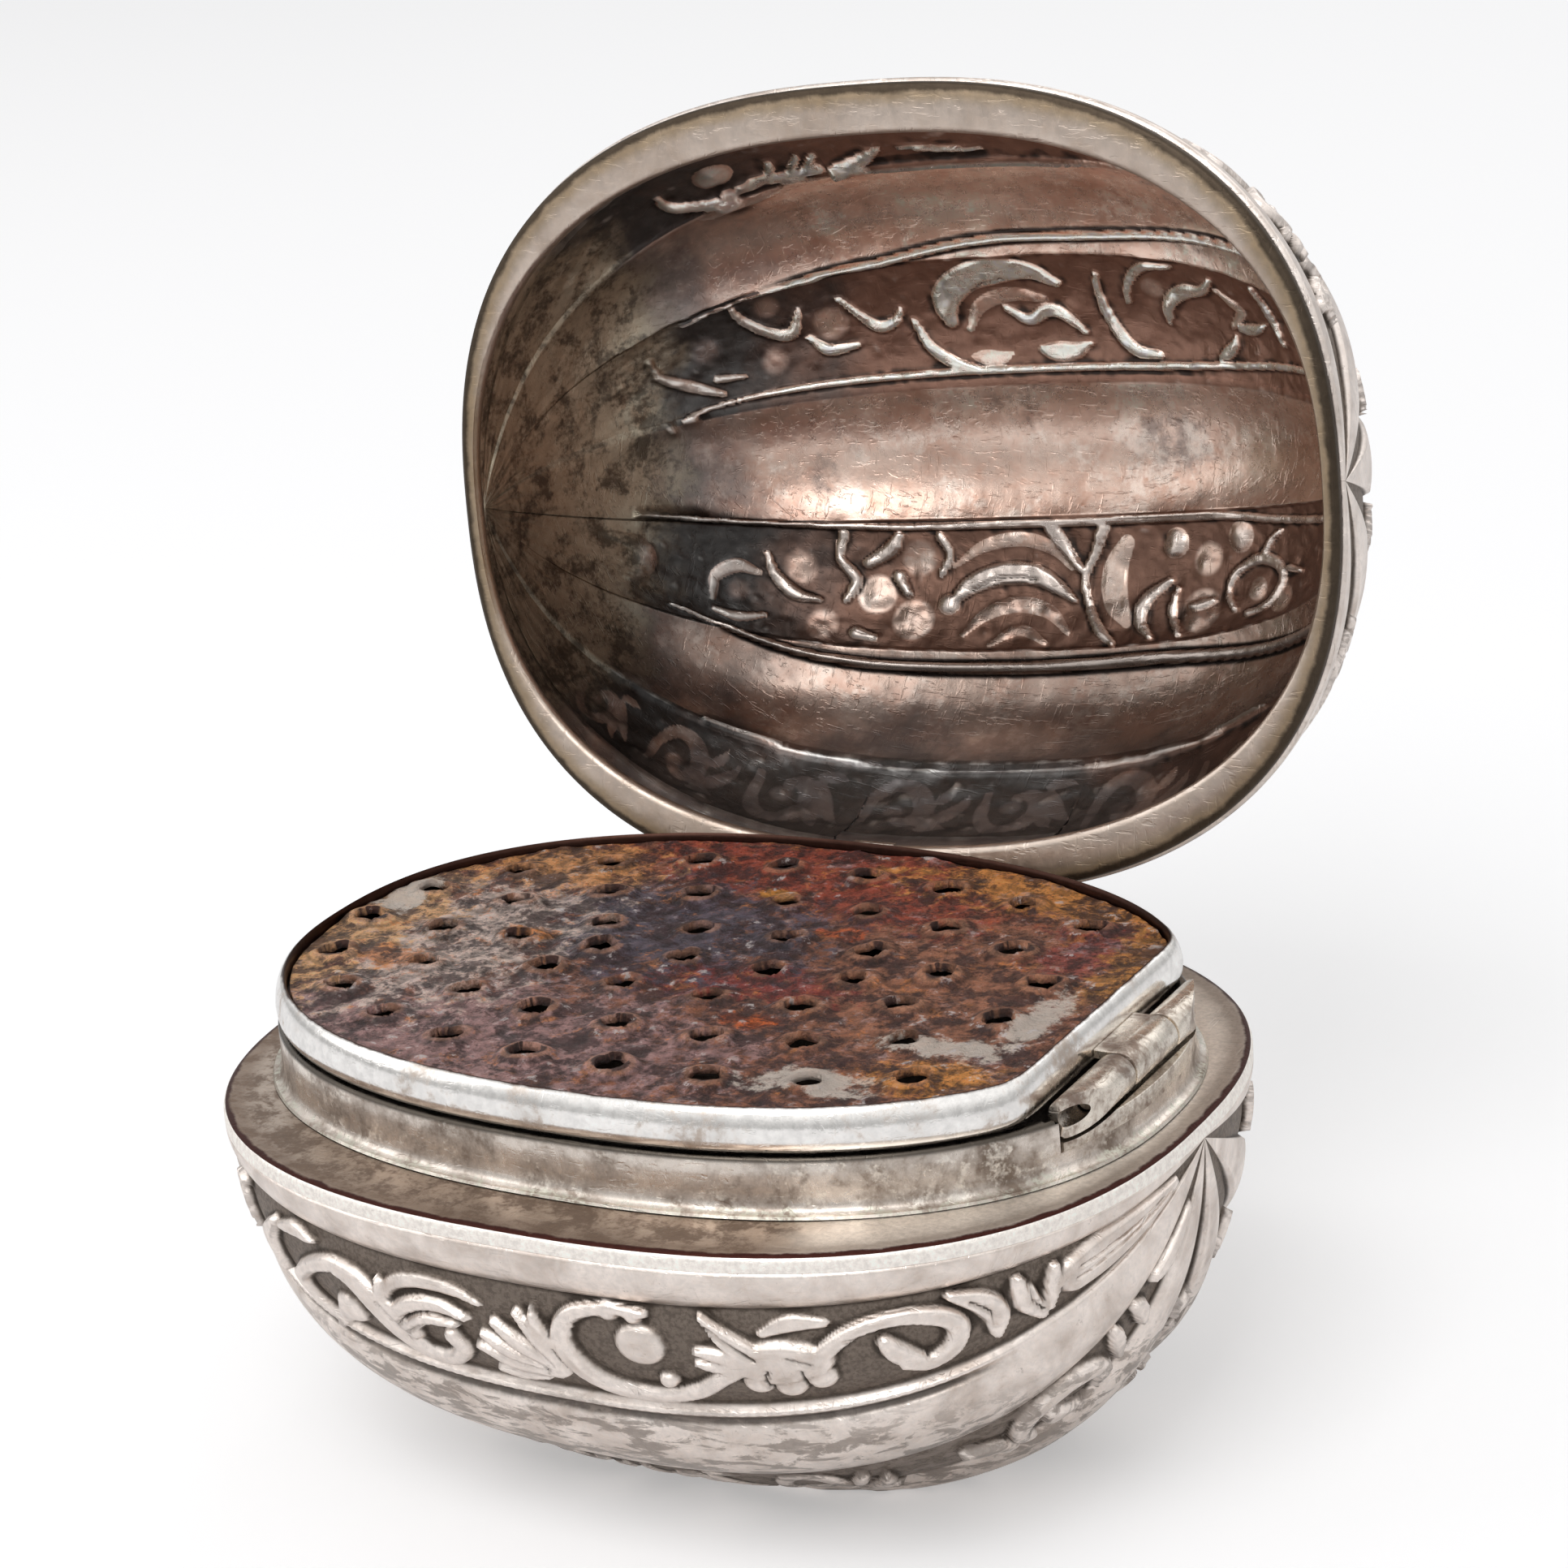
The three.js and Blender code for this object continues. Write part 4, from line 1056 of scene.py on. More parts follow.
def lid_lining():
    columns = columns_between((-pole, -20, 0.3), (-20, 18, 0.16), (18, pole, 0.3), extra=notch_columns)
    rows = rows_between((0, 11.25, 4), (11.25, 33.75, 30), (33.75, 48, 10), (48, 57.5, 26), (57.5, 78.5, 54),
                        (78.5, 100.5, 14), (100.5, 104, 12), (104, 124, 54), (124, 133, 22), (133, 146.25, 8),
                        (146.25, 168.75, 34), (168.75, 180, 6))
    along, angle = np.meshgrid(columns, rows, indexing="ij")
    strokes = widened(lining_strokes, 1.45) + ridge_lines
    height = carved_heights(along, angle, lid_furrows, strokes, lining_veins, True)[0]
    marks = raised(strokes, along, angle)
    in_band = gore_at(angle, lid_furrows)[0] % 2 == 1
    lumps = 0.035 * crust(along, 0.3 * angle, 8, 1.2, 3.0) + 0.012 * crust(along, 0.3 * angle, 9, 0.5, 1.0)
    height = 0.8 * np.maximum(height, -0.12) + np.where(in_band & (along > -19), lumps, 0.3 * lumps)
    hollow = np.clip(0.5 + 0.5 * (softened(height, 3) - height) / 0.1, 0, 1)
    stands = np.where(in_band, marks, np.maximum(0.5, marks))
    outer = raise_sheet(lid_sheet(columns, rows, lining_depth, True), rows, -1, height)
    return lid_skin("lid_lining", outer, lid_sheet(columns, few_rows, lining_start), stands, hollow)


lining = lid_lining()
finish_piece(lining, "lid", "carved_silver", "lid_shell")

# %% The lid's flange
def lid_flange():
    angles = even_angles(320, nut_half_length, nut_half_width, nut_power)
    reach = np.arccos((notch_half / nut_half_length) ** (nut_power / 2))
    angles = np.unique(np.round(np.concatenate([angles, either_side(reach, np.pi - reach)]), 9))

    def loop(mix, inset, z):
        outer = oval(angles, nut_half_length - 0.15 - inset, nut_half_width - 0.15 - inset, nut_power)
        inner = oval(angles, nut_half_length - 0.85 + inset, nut_half_width - 2.2 + inset, 2.4)
        flat = outer * (1 - mix) + inner * mix
        return np.column_stack([flat, np.full(len(angles), z)])

    section = [(0.5, 0, 0.2), (0.25, 0, 0.215), (0, 0.14, 0.26), (0, 0.05, 0.32), (0, 0, 0.42), (0, 0, 0.72),
               (0, 0.05, 0.8), (0.5, 0, 0.8), (1, 0.06, 0.8), (1, 0, 0.72), (1, 0, 0.45), (1, 0.03, 0.35),
               (1, 0.1, 0.27), (0.85, 0, 0.22)]
    loops = [loop(*step) for step in section]
    points = np.stack(loops + loops[:1], 1)
    inset = rim_inset(points)
    x, y = turned(points[..., 0], points[..., 1] - hinge_y, skew)
    in_notch = (np.abs(x) < notch_half) & (y > -notch_drop)
    cut = np.where(in_notch, -notch_drop, y)
    points[..., 0], points[..., 1] = turned(x, cut, -skew)
    points[..., 1] += hinge_y
    return bent_grid("lid_flange_ring", opened(points), 40, {"inset": inset})


flange = lid_flange()
finish_piece(flange, "lid", "plain_silver", "lid_flange")

# %% [markdown]
# ## The lid's hinge
# Five short knuckles in a line behind, three with a foot on the ledge and two with a leaf on the
# lid. Each is a tube round the skewed axis with a small block soldered to it.

# %% Five knuckles
def on_hinge_axis(points):
    x, y = turned(points[..., 0], points[..., 1], -skew)
    return np.stack([x, y + hinge_y, points[..., 2] + hinge_z], -1)


def swung(points):
    return np.stack([points[..., 0], *turned(points[..., 1], points[..., 2], swing)], -1)


def block_points(low, high, soft=0.04):
    (x0, y0, z0), (x1, y1, z1) = low, high
    loop = [(y0, z0 + soft), (y0, z1 - soft), (y0 + soft, z1), (y1 - soft, z1),
            (y1, z1 - soft), (y1, z0 + soft), (y1 - soft, z0), (y0 + soft, z0), (y0, z0 + soft)]
    return capped(np.array([[(x, y, z) for y, z in loop] for x in (x0, x1)]))


def hinge_knuckle(index):
    length = (2 * lid_hinge_half_length - 4 * lid_knuckle_gap) / 5
    low = -lid_hinge_half_length + index * (length + lid_knuckle_gap)
    high = low + length
    turns = np.linspace(0, 2 * np.pi, 49)
    section = [(lid_bore_radius, low), (0.8, low), (0.84, low + 0.02), (lid_knuckle_radius, low + 0.06),
               (lid_knuckle_radius, high - 0.06), (0.84, high - 0.02), (0.8, high),
               (lid_bore_radius, high), (lid_bore_radius, low)]
    tube = np.array([[(x, r * math.cos(t), r * math.sin(t)) for r, x in section] for t in turns])
    on_base = index % 2 == 0
    arm = block_points((low, -0.5, -1.3), (high, 0.5, -0.5)) if on_base else block_points(
        (low, -1.55, -0.4), (high, -0.5, 0.0))
    if not on_base:
        tube, arm = swung(tube), swung(arm)
    name = ("base_hinge_" if on_base else "lid_hinge_") + str(index // 2 + 1)
    knuckle = join_pieces(name, bent_grid("tube", on_hinge_axis(tube), 35),
                          bent_grid("arm", on_hinge_axis(arm), 35))
    node = ("base_knuckle_" if on_base else "lid_knuckle_") + str(index // 2 + 1)
    finish_piece(knuckle, "base" if on_base else "lid", "hinge_silver", node)
    return knuckle


lid_hinge_pieces = [hinge_knuckle(index) for index in range(5)]

# %% [markdown]
# ## Finishes
# The finishes are few: silver that was chased, wiped and blackened again in its hollows, plain
# silver with an olive bloom, the frame that hands keep polished, the copper-toned inside of the
# lid, and rust. Effects that several of them share are node groups: a mottled bloom, fine
# scratches, and the change from dark hollows to wiped crests. Distances in these groups count in
# millimetres, because the first node scales the piece's own coordinates up.

# %% Small tools for nodes
def add(tree, kind, *places, **settings):
    node = tree.nodes.new(kind)
    for key, value in settings.items():
        setattr(node, key, value)
    for socket, value in places:
        if isinstance(value, bpy.types.NodeSocket):
            tree.links.new(value, node.inputs[socket])
        else:
            node.inputs[socket].default_value = value
    return node


def sums(tree, operation, a, b=0.0, c=None):
    places = [(0, a), (1, b)] + ([(2, c)] if c is not None else [])
    return add(tree, "ShaderNodeMath", *places, operation=operation).outputs[0]


def times(tree, a, b):
    return sums(tree, "MULTIPLY", a, b)


def blend(tree, amount, first, second, kind="MIX"):
    node = add(tree, "ShaderNodeMix", (0, amount), (6, first), (7, second),
               data_type="RGBA", blend_type=kind)
    return node.outputs[2]


def ramp(tree, value, low, high, out_low=0.0, out_high=1.0):
    node = add(tree, "ShaderNodeMapRange", ("Value", value), ("From Min", low), ("From Max", high),
               ("To Min", out_low), ("To Max", out_high), interpolation_type="SMOOTHSTEP")
    return node.outputs["Result"]


def noise(tree, where, scale, detail=4.0, roughness=0.55, distortion=0.0):
    node = add(tree, "ShaderNodeTexNoise", ("Vector", where), ("Scale", scale), ("Detail", detail),
               ("Roughness", roughness), ("Distortion", distortion))
    return node.outputs["Fac"]


def in_mm(tree):
    place = add(tree, "ShaderNodeTexCoord").outputs["Object"]
    return add(tree, "ShaderNodeMapping", ("Vector", place), ("Scale", (1000, 1000, 1000))).outputs[0]


def new_group(name, inputs, outputs):
    tree = bpy.data.node_groups.new(name, "ShaderNodeTree")
    for label, kind, value in inputs:
        socket = tree.interface.new_socket(label, in_out="INPUT", socket_type=kind)
        socket.default_value = value
    for label, kind in outputs:
        tree.interface.new_socket(label, in_out="OUTPUT", socket_type=kind)
    return tree, tree.nodes.new("NodeGroupInput"), tree.nodes.new("NodeGroupOutput")


FLOAT, COLOUR = "NodeSocketFloat", "NodeSocketColor"
print("node sockets hold", FLOAT, "or", COLOUR)

# %% Mottled bloom
def make_bloom():
    tree, given, out = new_group("mottled_bloom", [
        ("Size", FLOAT, 2.0), ("Cover", FLOAT, 0.5), ("Softness", FLOAT, 0.15),
        ("Shift", FLOAT, 0.0)], [("Mask", FLOAT), ("Fine", FLOAT)])
    place = in_mm(tree)
    moved = add(tree, "ShaderNodeVectorMath", (0, place), (1, given.outputs["Shift"]),
                operation="ADD").outputs[0]
    scale = sums(tree, "DIVIDE", 1.0, given.outputs["Size"])
    broad = noise(tree, moved, scale, 6.0, 0.6, 0.4)
    fine = noise(tree, moved, times(tree, scale, 6.0), 5.0, 0.65)
    both = sums(tree, "MULTIPLY_ADD", fine, 0.35, times(tree, broad, 0.65))
    level = sums(tree, "SUBTRACT", 0.78, times(tree, given.outputs["Cover"], 0.56))
    low = sums(tree, "SUBTRACT", level, given.outputs["Softness"])
    high = sums(tree, "ADD", level, given.outputs["Softness"])
    tree.links.new(ramp(tree, both, low, high), out.inputs["Mask"])
    tree.links.new(fine, out.inputs["Fine"])
    return tree


bloom_group = make_bloom()
print("the bloom takes", len(bloom_group.nodes), "nodes")

# %% Fine scratches
def make_scratches():
    tree, given, out = new_group("fine_scratches", [("Spacing", FLOAT, 0.5), ("Amount", FLOAT, 0.5)],
                                 [("Height", FLOAT), ("Mask", FLOAT)])
    place = in_mm(tree)
    scale = sums(tree, "DIVIDE", 1.0, given.outputs["Spacing"])
    lines = None
    for turn, stretch in ((0.4, (1, 14, 3)), (1.9, (10, 1, 2)), (2.7, (2, 9, 12))):
        tilted = add(tree, "ShaderNodeMapping", ("Vector", place), ("Rotation", (turn, 0.7 * turn, turn)),
                     ("Scale", stretch)).outputs[0]
        value = noise(tree, tilted, times(tree, scale, 0.35), 3.0, 0.6, 0.2)
        line = ramp(tree, value, 0.6, 0.68)
        lines = line if lines is None else sums(tree, "MAXIMUM", lines, line)
    shown = times(tree, lines, given.outputs["Amount"])
    tree.links.new(times(tree, shown, -1.0), out.inputs["Height"])
    tree.links.new(shown, out.inputs["Mask"])
    return tree


scratch_group = make_scratches()
print("the scratches take", len(scratch_group.nodes), "nodes")

# %% Hollows and crests
def make_hollows():
    tree, given, out = new_group("hollows_and_crests", [
        ("Stands", FLOAT, 1.0), ("Hollow", FLOAT, 0.5), ("Bloom", FLOAT, 0.0),
        ("Crest", COLOUR, (0.8, 0.76, 0.72, 1)), ("Worn", COLOUR, (0.45, 0.4, 0.36, 1)),
        ("Ground", COLOUR, (0.2, 0.17, 0.15, 1)), ("Line", COLOUR, (0.03, 0.025, 0.02, 1))],
        [("Colour", COLOUR), ("Dark", FLOAT), ("Grain", FLOAT)])
    place = in_mm(tree)
    uneven = noise(tree, place, 1.6, 5.0, 0.65)
    grain = noise(tree, place, 6.0, 3.0, 0.6)
    wander = times(tree, sums(tree, "SUBTRACT", uneven, 0.5), 0.5)
    stands = ramp(tree, sums(tree, "ADD", wander, given.outputs["Stands"]), 0.1, 0.6)
    wiped = blend(tree, given.outputs["Bloom"], given.outputs["Crest"], given.outputs["Worn"])
    matted = blend(tree, ramp(tree, grain, 0.4, 0.62), given.outputs["Ground"], given.outputs["Line"])
    ground = blend(tree, 0.45, given.outputs["Ground"], matted)
    colour = blend(tree, stands, ground, wiped)
    line = ramp(tree, sums(tree, "MULTIPLY_ADD", wander, 0.6, given.outputs["Hollow"]), 0.62, 1.0)
    colour = blend(tree, times(tree, line, 0.85), colour, given.outputs["Line"])
    edge = ramp(tree, given.outputs["Hollow"], 0.42, 0.15)
    colour = blend(tree, times(tree, edge, 0.8), colour, given.outputs["Crest"])
    low = sums(tree, "SUBTRACT", 1.0, stands)
    tree.links.new(colour, out.inputs["Colour"])
    tree.links.new(sums(tree, "MAXIMUM", low, line), out.inputs["Dark"])
    tree.links.new(times(tree, low, grain), out.inputs["Grain"])
    return tree


hollow_group = make_hollows()
print("the hollows and crests take", len(hollow_group.nodes), "nodes")

# %% Grime and painted highlights along an edge
def make_grime_and_highlight():
    tree, given, out = new_group("edge_grime_and_highlight", [
        ("Distance", FLOAT, 1.0), ("Width", FLOAT, 0.2), ("Softness", FLOAT, 0.1), ("Wander", FLOAT, 0.2)],
        [("Mask", FLOAT)])
    place = in_mm(tree)
    uneven = sums(tree, "SUBTRACT", noise(tree, place, 0.8, 6.0, 0.65), 0.5)
    moved = sums(tree, "MULTIPLY_ADD", uneven, given.outputs["Wander"], given.outputs["Distance"])
    far = sums(tree, "ADD", given.outputs["Width"], given.outputs["Softness"])
    tree.links.new(ramp(tree, moved, far, given.outputs["Width"]), out.inputs["Mask"])
    return tree


grime_and_highlight_group = make_grime_and_highlight()
print("groups:", [group.name for group in bpy.data.node_groups])

# %% [markdown]
# ## Building the materials
# Every metal here starts from the same shader: fully metallic, with a roughness that follows the
# bloom and a bump made of scratches and pits. What differs are the colours and how much of each
# effect there is.

# %% One kind of silver
def group(tree, source, *places):
    return add(tree, "ShaderNodeGroup", *places, node_tree=source)


def bloomed(tree, size, cover, softness, shift):
    return group(tree, bloom_group, ("Size", size), ("Cover", cover), ("Softness", softness), ("Shift", shift))


def tinted(tree, mask, amount, colour, tone):
    """The colour with a share of a tone laid over it where the mask is."""
    return blend(tree, times(tree, mask, amount), colour, (*tone, 1))


def dimmed(tree, colour, light):
    grey = add(tree, "ShaderNodeCombineColor", (0, light), (1, light), (2, light)).outputs[0]
    return blend(tree, 1.0, colour, grey, "MULTIPLY")


def start_material(name):
    material = bpy.data.materials.new(name)
    material.use_nodes = True
    tree = material.node_tree
    return material, tree, tree.nodes["Principled BSDF"]


def value_of(tree, attribute):
    return add(tree, "ShaderNodeAttribute", attribute_name=attribute).outputs["Fac"]


def bumped(tree, shader, height, strength, distance):
    node = add(tree, "ShaderNodeBump", ("Height", height), ("Strength", strength), ("Distance", distance * MM))
    tree.links.new(node.outputs[0], shader.inputs["Normal"])


def axis_of(tree, axis):
    return add(tree, "ShaderNodeSeparateXYZ", (0, in_mm(tree))).outputs["XYZ".index(axis)]


def finish_silver(tree, shader, colour, dark, bloom, grain, rough, scratches, bump):
    """What all silver shares: a fine change of shade, roughness in the dark places, fine relief."""
    lines = group(tree, scratch_group, ("Spacing", 0.8), ("Amount", scratches))
    shade = ramp(tree, bloom.outputs["Fine"], 0.3, 0.7, 0.84, 1.08)
    tree.links.new(dimmed(tree, colour, shade), shader.inputs["Base Color"])
    shader.inputs["Metallic"].default_value = 1.0
    rough_now = ramp(tree, dark, 0.0, 1.0, rough[0], rough[1])
    rough_now = sums(tree, "MULTIPLY_ADD", bloom.outputs["Fine"], 0.12, rough_now)
    tree.links.new(rough_now, shader.inputs["Roughness"])
    relief = sums(tree, "MULTIPLY_ADD", bloom.outputs["Fine"], 0.7, lines.outputs["Height"])
    bumped(tree, shader, sums(tree, "MULTIPLY_ADD", grain, 1.6, relief), bump, 0.05)


def plain_silver(name, crest, worn, size=2.5, cover=0.45, softness=0.12, shift=0.0, rough=(0.22, 0.42),
                 scratches=0.5, bump=0.35, edges=()):
    """Unworked silver; each edge gives an attribute, a width and a colour for grime and painted highlights on a
    rim.
    """
    material, tree, shader = start_material(name)
    bloom = bloomed(tree, size, cover, softness, shift)
    specks = bloomed(tree, 0.7, 0.18, 0.06, shift + 50)
    colour = blend(tree, bloom.outputs["Mask"], (*crest, 1), (*worn, 1))
    colour = tinted(tree, specks.outputs["Mask"], 0.6, colour, [0.4 * c for c in worn])
    dark = bloom.outputs["Mask"]
    for attribute, width, softness, amount, grime_and_highlight_colour in edges:
        grime_and_highlight = group(tree, grime_and_highlight_group, ("Distance", value_of(tree, attribute)), ("Width", width),
                      ("Softness", softness))
        shown = times(tree, grime_and_highlight.outputs["Mask"], amount)
        colour = blend(tree, shown, colour, (*grime_and_highlight_colour, 1))
        dark = sums(tree, "MAXIMUM", dark, shown)
    finish_silver(tree, shader, colour, dark, bloom, 0.0, rough, scratches, bump)
    return material


def chased(name, crest, worn, ground, line, size, cover, shift, rough):
    """Silver with chasing: bright crests, a matted ground, black lines beside each stroke, painted shade near
    the floor.
    """
    material, tree, shader = start_material(name)
    bloom = bloomed(tree, size, cover, 0.16, shift)
    specks = bloomed(tree, 0.6, 0.2, 0.07, shift + 50)
    paint = group(tree, hollow_group, ("Stands", value_of(tree, "stands")),
                  ("Hollow", value_of(tree, "hollow")), ("Bloom", bloom.outputs["Mask"]),
                  ("Crest", (*crest, 1)), ("Worn", (*worn, 1)), ("Ground", (*ground, 1)), ("Line", (*line, 1)))
    colour = tinted(tree, specks.outputs["Mask"], 0.65, paint.outputs["Colour"], [0.35 * c for c in worn])
    # Painted shade: below 8.6 mm above the floor, the silver is painted darker in stretched patches.
    stretched = add(tree, "ShaderNodeMapping", ("Vector", in_mm(tree)), ("Scale", (0.45, 1.0, 1.4))).outputs[0]
    shade_patches = ramp(tree, noise(tree, stretched, 1.1, 8.0, 0.68, 0.5), 0.47, 0.56)
    foot = ramp(tree, axis_of(tree, "Z"), 8.6, 6.2)
    colour = tinted(tree, times(tree, shade_patches, foot), 0.8, colour, [0.55 * c for c in worn])
    finish_silver(tree, shader, colour, paint.outputs["Dark"], bloom, paint.outputs["Grain"], rough, 0.4, 0.5)
    return material


print("the bloom's sockets:", [item.name for item in bloom_group.interface.items_tree])

# %% The silvers
chased_silver = chased("chased_silver", (0.97, 0.875, 0.81), (0.58, 0.49, 0.43), (0.25, 0.205, 0.172),
                       (0.055, 0.043, 0.035), 2.0, 0.42, 0.0, (0.3, 0.5))
# The ledge: paler near the hinge's end, browner with a dark line at the rim, painted highlight on the upright
# edge.
ledge_silver = plain_silver("ledge_silver", (0.47, 0.38, 0.31), (0.2, 0.145, 0.11), 1.3, 0.5, 0.08, 3.0,
                            (0.24, 0.45), edges=(("from_end", 0.22, 0.3, 0.85, (0.97, 0.9, 0.82)),
                                                 ("inset", 0.3, 0.35, 0.6, (0.2, 0.135, 0.095)),
                                                 ("inset", 0.11, 0.07, 1.0, (0.055, 0.018, 0.014)),
                                                 ("inset", -0.6, 0.2, 1.0, (1.0, 0.94, 0.88))))
frame_silver = plain_silver("frame_silver", (0.97, 0.945, 0.915), (0.52, 0.44, 0.38), 3.0, 0.36, 0.08, 11.0,
                            (0.1, 0.3), 0.3, 0.2, edges=(("from_plate", 0.1, 0.1, 1.0, (0.05, 0.024, 0.018)),))
flange_silver = plain_silver("flange_silver", (0.7, 0.59, 0.51), (0.44, 0.35, 0.285), 2.6, 0.45, 0.18, 15.0,
                             (0.25, 0.42), edges=(("inset", 0.3, 0.3, 0.75, (0.3, 0.215, 0.12)),
                                                  ("inset", 0.2, 0.12, 0.95, (0.06, 0.045, 0.033))))
hinge_silver = plain_silver("hinge_silver", (0.84, 0.765, 0.67), (0.28, 0.21, 0.17), 1.4, 0.45, 0.1, 5.0,
                            (0.2, 0.4))
pin_silver = plain_silver("pin_silver", (0.3, 0.26, 0.22), (0.1, 0.08, 0.07), 0.8, 0.5, 0.2, 2.0, (0.35, 0.5))
print("silvers:", [material.name for material in bpy.data.materials if "silver" in material.name])

# %% The collar's silver
def make_collar_silver():
    """Olive silver, with a pale worn line at its foot and worn places along its front."""
    material, tree, shader = start_material("collar_silver")
    bloom = bloomed(tree, 2.6, 0.48, 0.14, 7.0)
    worn = bloomed(tree, 1.3, 0.36, 0.06, 27.0)
    colour = blend(tree, bloom.outputs["Mask"], (0.86, 0.77, 0.69, 1), (0.22, 0.17, 0.135, 1))
    colour = tinted(tree, worn.outputs["Mask"], 0.75, colour, (0.95, 0.88, 0.79))
    up = sums(tree, "SUBTRACT", axis_of(tree, "Z"), rim_height)
    foot = group(tree, grime_and_highlight_group, ("Distance", up), ("Width", 0.1), ("Softness", 0.14), ("Wander", 1.4))
    broken = times(tree, foot.outputs["Mask"], ramp(tree, worn.outputs["Fine"], 0.4, 0.6, 0.05, 0.8))
    colour = blend(tree, broken, colour, (0.6, 0.59, 0.5, 1))
    top = ramp(tree, up, 1.95, 2.15)
    colour = blend(tree, top, colour, (0.1, 0.085, 0.07, 1))
    finish_silver(tree, shader, colour, bloom.outputs["Mask"], bloom, 0.0, (0.2, 0.42), 0.5, 0.35)
    return material


collar_silver = make_collar_silver()
print("the collar's silver takes", len(collar_silver.node_tree.nodes), "nodes")

# %% The lining's copper tones
def make_lining_silver():
    """Copper-toned on the right, grey to the left and below, olive at the left pole, with light and shade
    painted by height.
    """
    material, tree, shader = start_material("lining_silver")
    bloom = bloomed(tree, 3.4, 0.42, 0.2, 9.0)
    uneven = sums(tree, "SUBTRACT", noise(tree, in_mm(tree), 0.25, 5.0, 0.6), 0.5)
    drift = times(tree, uneven, 12.0)
    stands, hollow = value_of(tree, "stands"), value_of(tree, "hollow")
    smooth = ramp(tree, stands, 0.3, 0.5)
    x = sums(tree, "ADD", axis_of(tree, "X"), drift)
    pushed = sums(tree, "MULTIPLY_ADD", smooth, 3.5, x)
    z = sums(tree, "MULTIPLY_ADD", drift, 0.3, axis_of(tree, "Z"))
    copper = times(tree, ramp(tree, pushed, -15.0, -7.5), ramp(tree, z, 18.5, 21.0))
    ground = blend(tree, copper, (0.085, 0.08, 0.077, 1), (0.3, 0.17, 0.125, 1))
    lobe = blend(tree, copper, (0.2, 0.185, 0.18, 1), (0.9, 0.69, 0.58, 1))
    lobe_worn = blend(tree, copper, (0.11, 0.1, 0.1, 1), (0.5, 0.27, 0.19, 1))
    lobe = blend(tree, bloom.outputs["Mask"], lobe, lobe_worn)
    stain = bloomed(tree, 5.0, 0.3, 0.07, 23.0)
    lobe = tinted(tree, stain.outputs["Mask"], 0.7, lobe, (0.22, 0.18, 0.17))
    shine = bloomed(tree, 2.2, 0.4, 0.06, 77.0)
    lobe = tinted(tree, times(tree, shine.outputs["Mask"], copper), 0.6, lobe, (1.0, 0.86, 0.76))
    colour = blend(tree, smooth, ground, lobe)
    # Painted highlights: the raised marks and the crests beside the hollows are painted pale, grey or pale
    # copper with the lining.
    mark_highlight = blend(tree, copper, (0.66, 0.65, 0.62, 1), (0.97, 0.84, 0.76, 1))
    colour = blend(tree, ramp(tree, stands, 0.55, 0.85), colour, mark_highlight)
    colour = blend(tree, ramp(tree, hollow, 0.62, 0.98), colour, (0.045, 0.034, 0.03, 1))
    colour = blend(tree, times(tree, ramp(tree, hollow, 0.42, 0.15), 0.55), colour, mark_highlight)
    patches = bloomed(tree, 1.5, 0.46, 0.08, 61.0)
    olive = blend(tree, patches.outputs["Mask"], (0.42, 0.365, 0.28, 1), (0.13, 0.11, 0.085, 1))
    left = sums(tree, "MULTIPLY_ADD", uneven, 5.0, axis_of(tree, "X"))
    colour = blend(tree, ramp(tree, left, -16.2, -18.2), colour, olive)
    # Painted light and shade by height above the floor: darkest at 20 to 21 mm, lighter below, lighter and
    # lighter up to 36 mm.
    light = sums(tree, "MAXIMUM", ramp(tree, axis_of(tree, "Z"), 18.4, 20.2, 1.1, 0.36),
                 ramp(tree, axis_of(tree, "Z"), 21.0, 36.0, 0.36, 1.24))
    colour = dimmed(tree, colour, light)
    dark = sums(tree, "SUBTRACT", 1.0, times(tree, smooth, copper))
    finish_silver(tree, shader, colour, dark, bloom, 0.0, (0.22, 0.36), 0.35, 0.45)
    return material


lining_silver = make_lining_silver()
print("the lining's silver takes", len(lining_silver.node_tree.nodes), "nodes")

# %% Rust
def patch(tree, place, warp, centre, size):
    """A soft-edged oval patch on the plate, centre and half size in mm."""
    moved = add(tree, "ShaderNodeVectorMath", (0, place), (1, (*centre, 0)), operation="SUBTRACT").outputs[0]
    scaled = add(tree, "ShaderNodeVectorMath", (0, moved), (1, (1 / size[0], 1 / size[1], 0)),
                 operation="MULTIPLY").outputs[0]
    length = add(tree, "ShaderNodeVectorMath", (0, scaled), operation="LENGTH").outputs["Value"]
    return ramp(tree, sums(tree, "ADD", length, warp), 1.2, 0.75)


def flecks(tree, colour, size, cover, shift, tone, amount):
    mask = bloomed(tree, size, cover, 0.05, shift)
    return tinted(tree, mask.outputs["Mask"], amount, colour, tone), mask


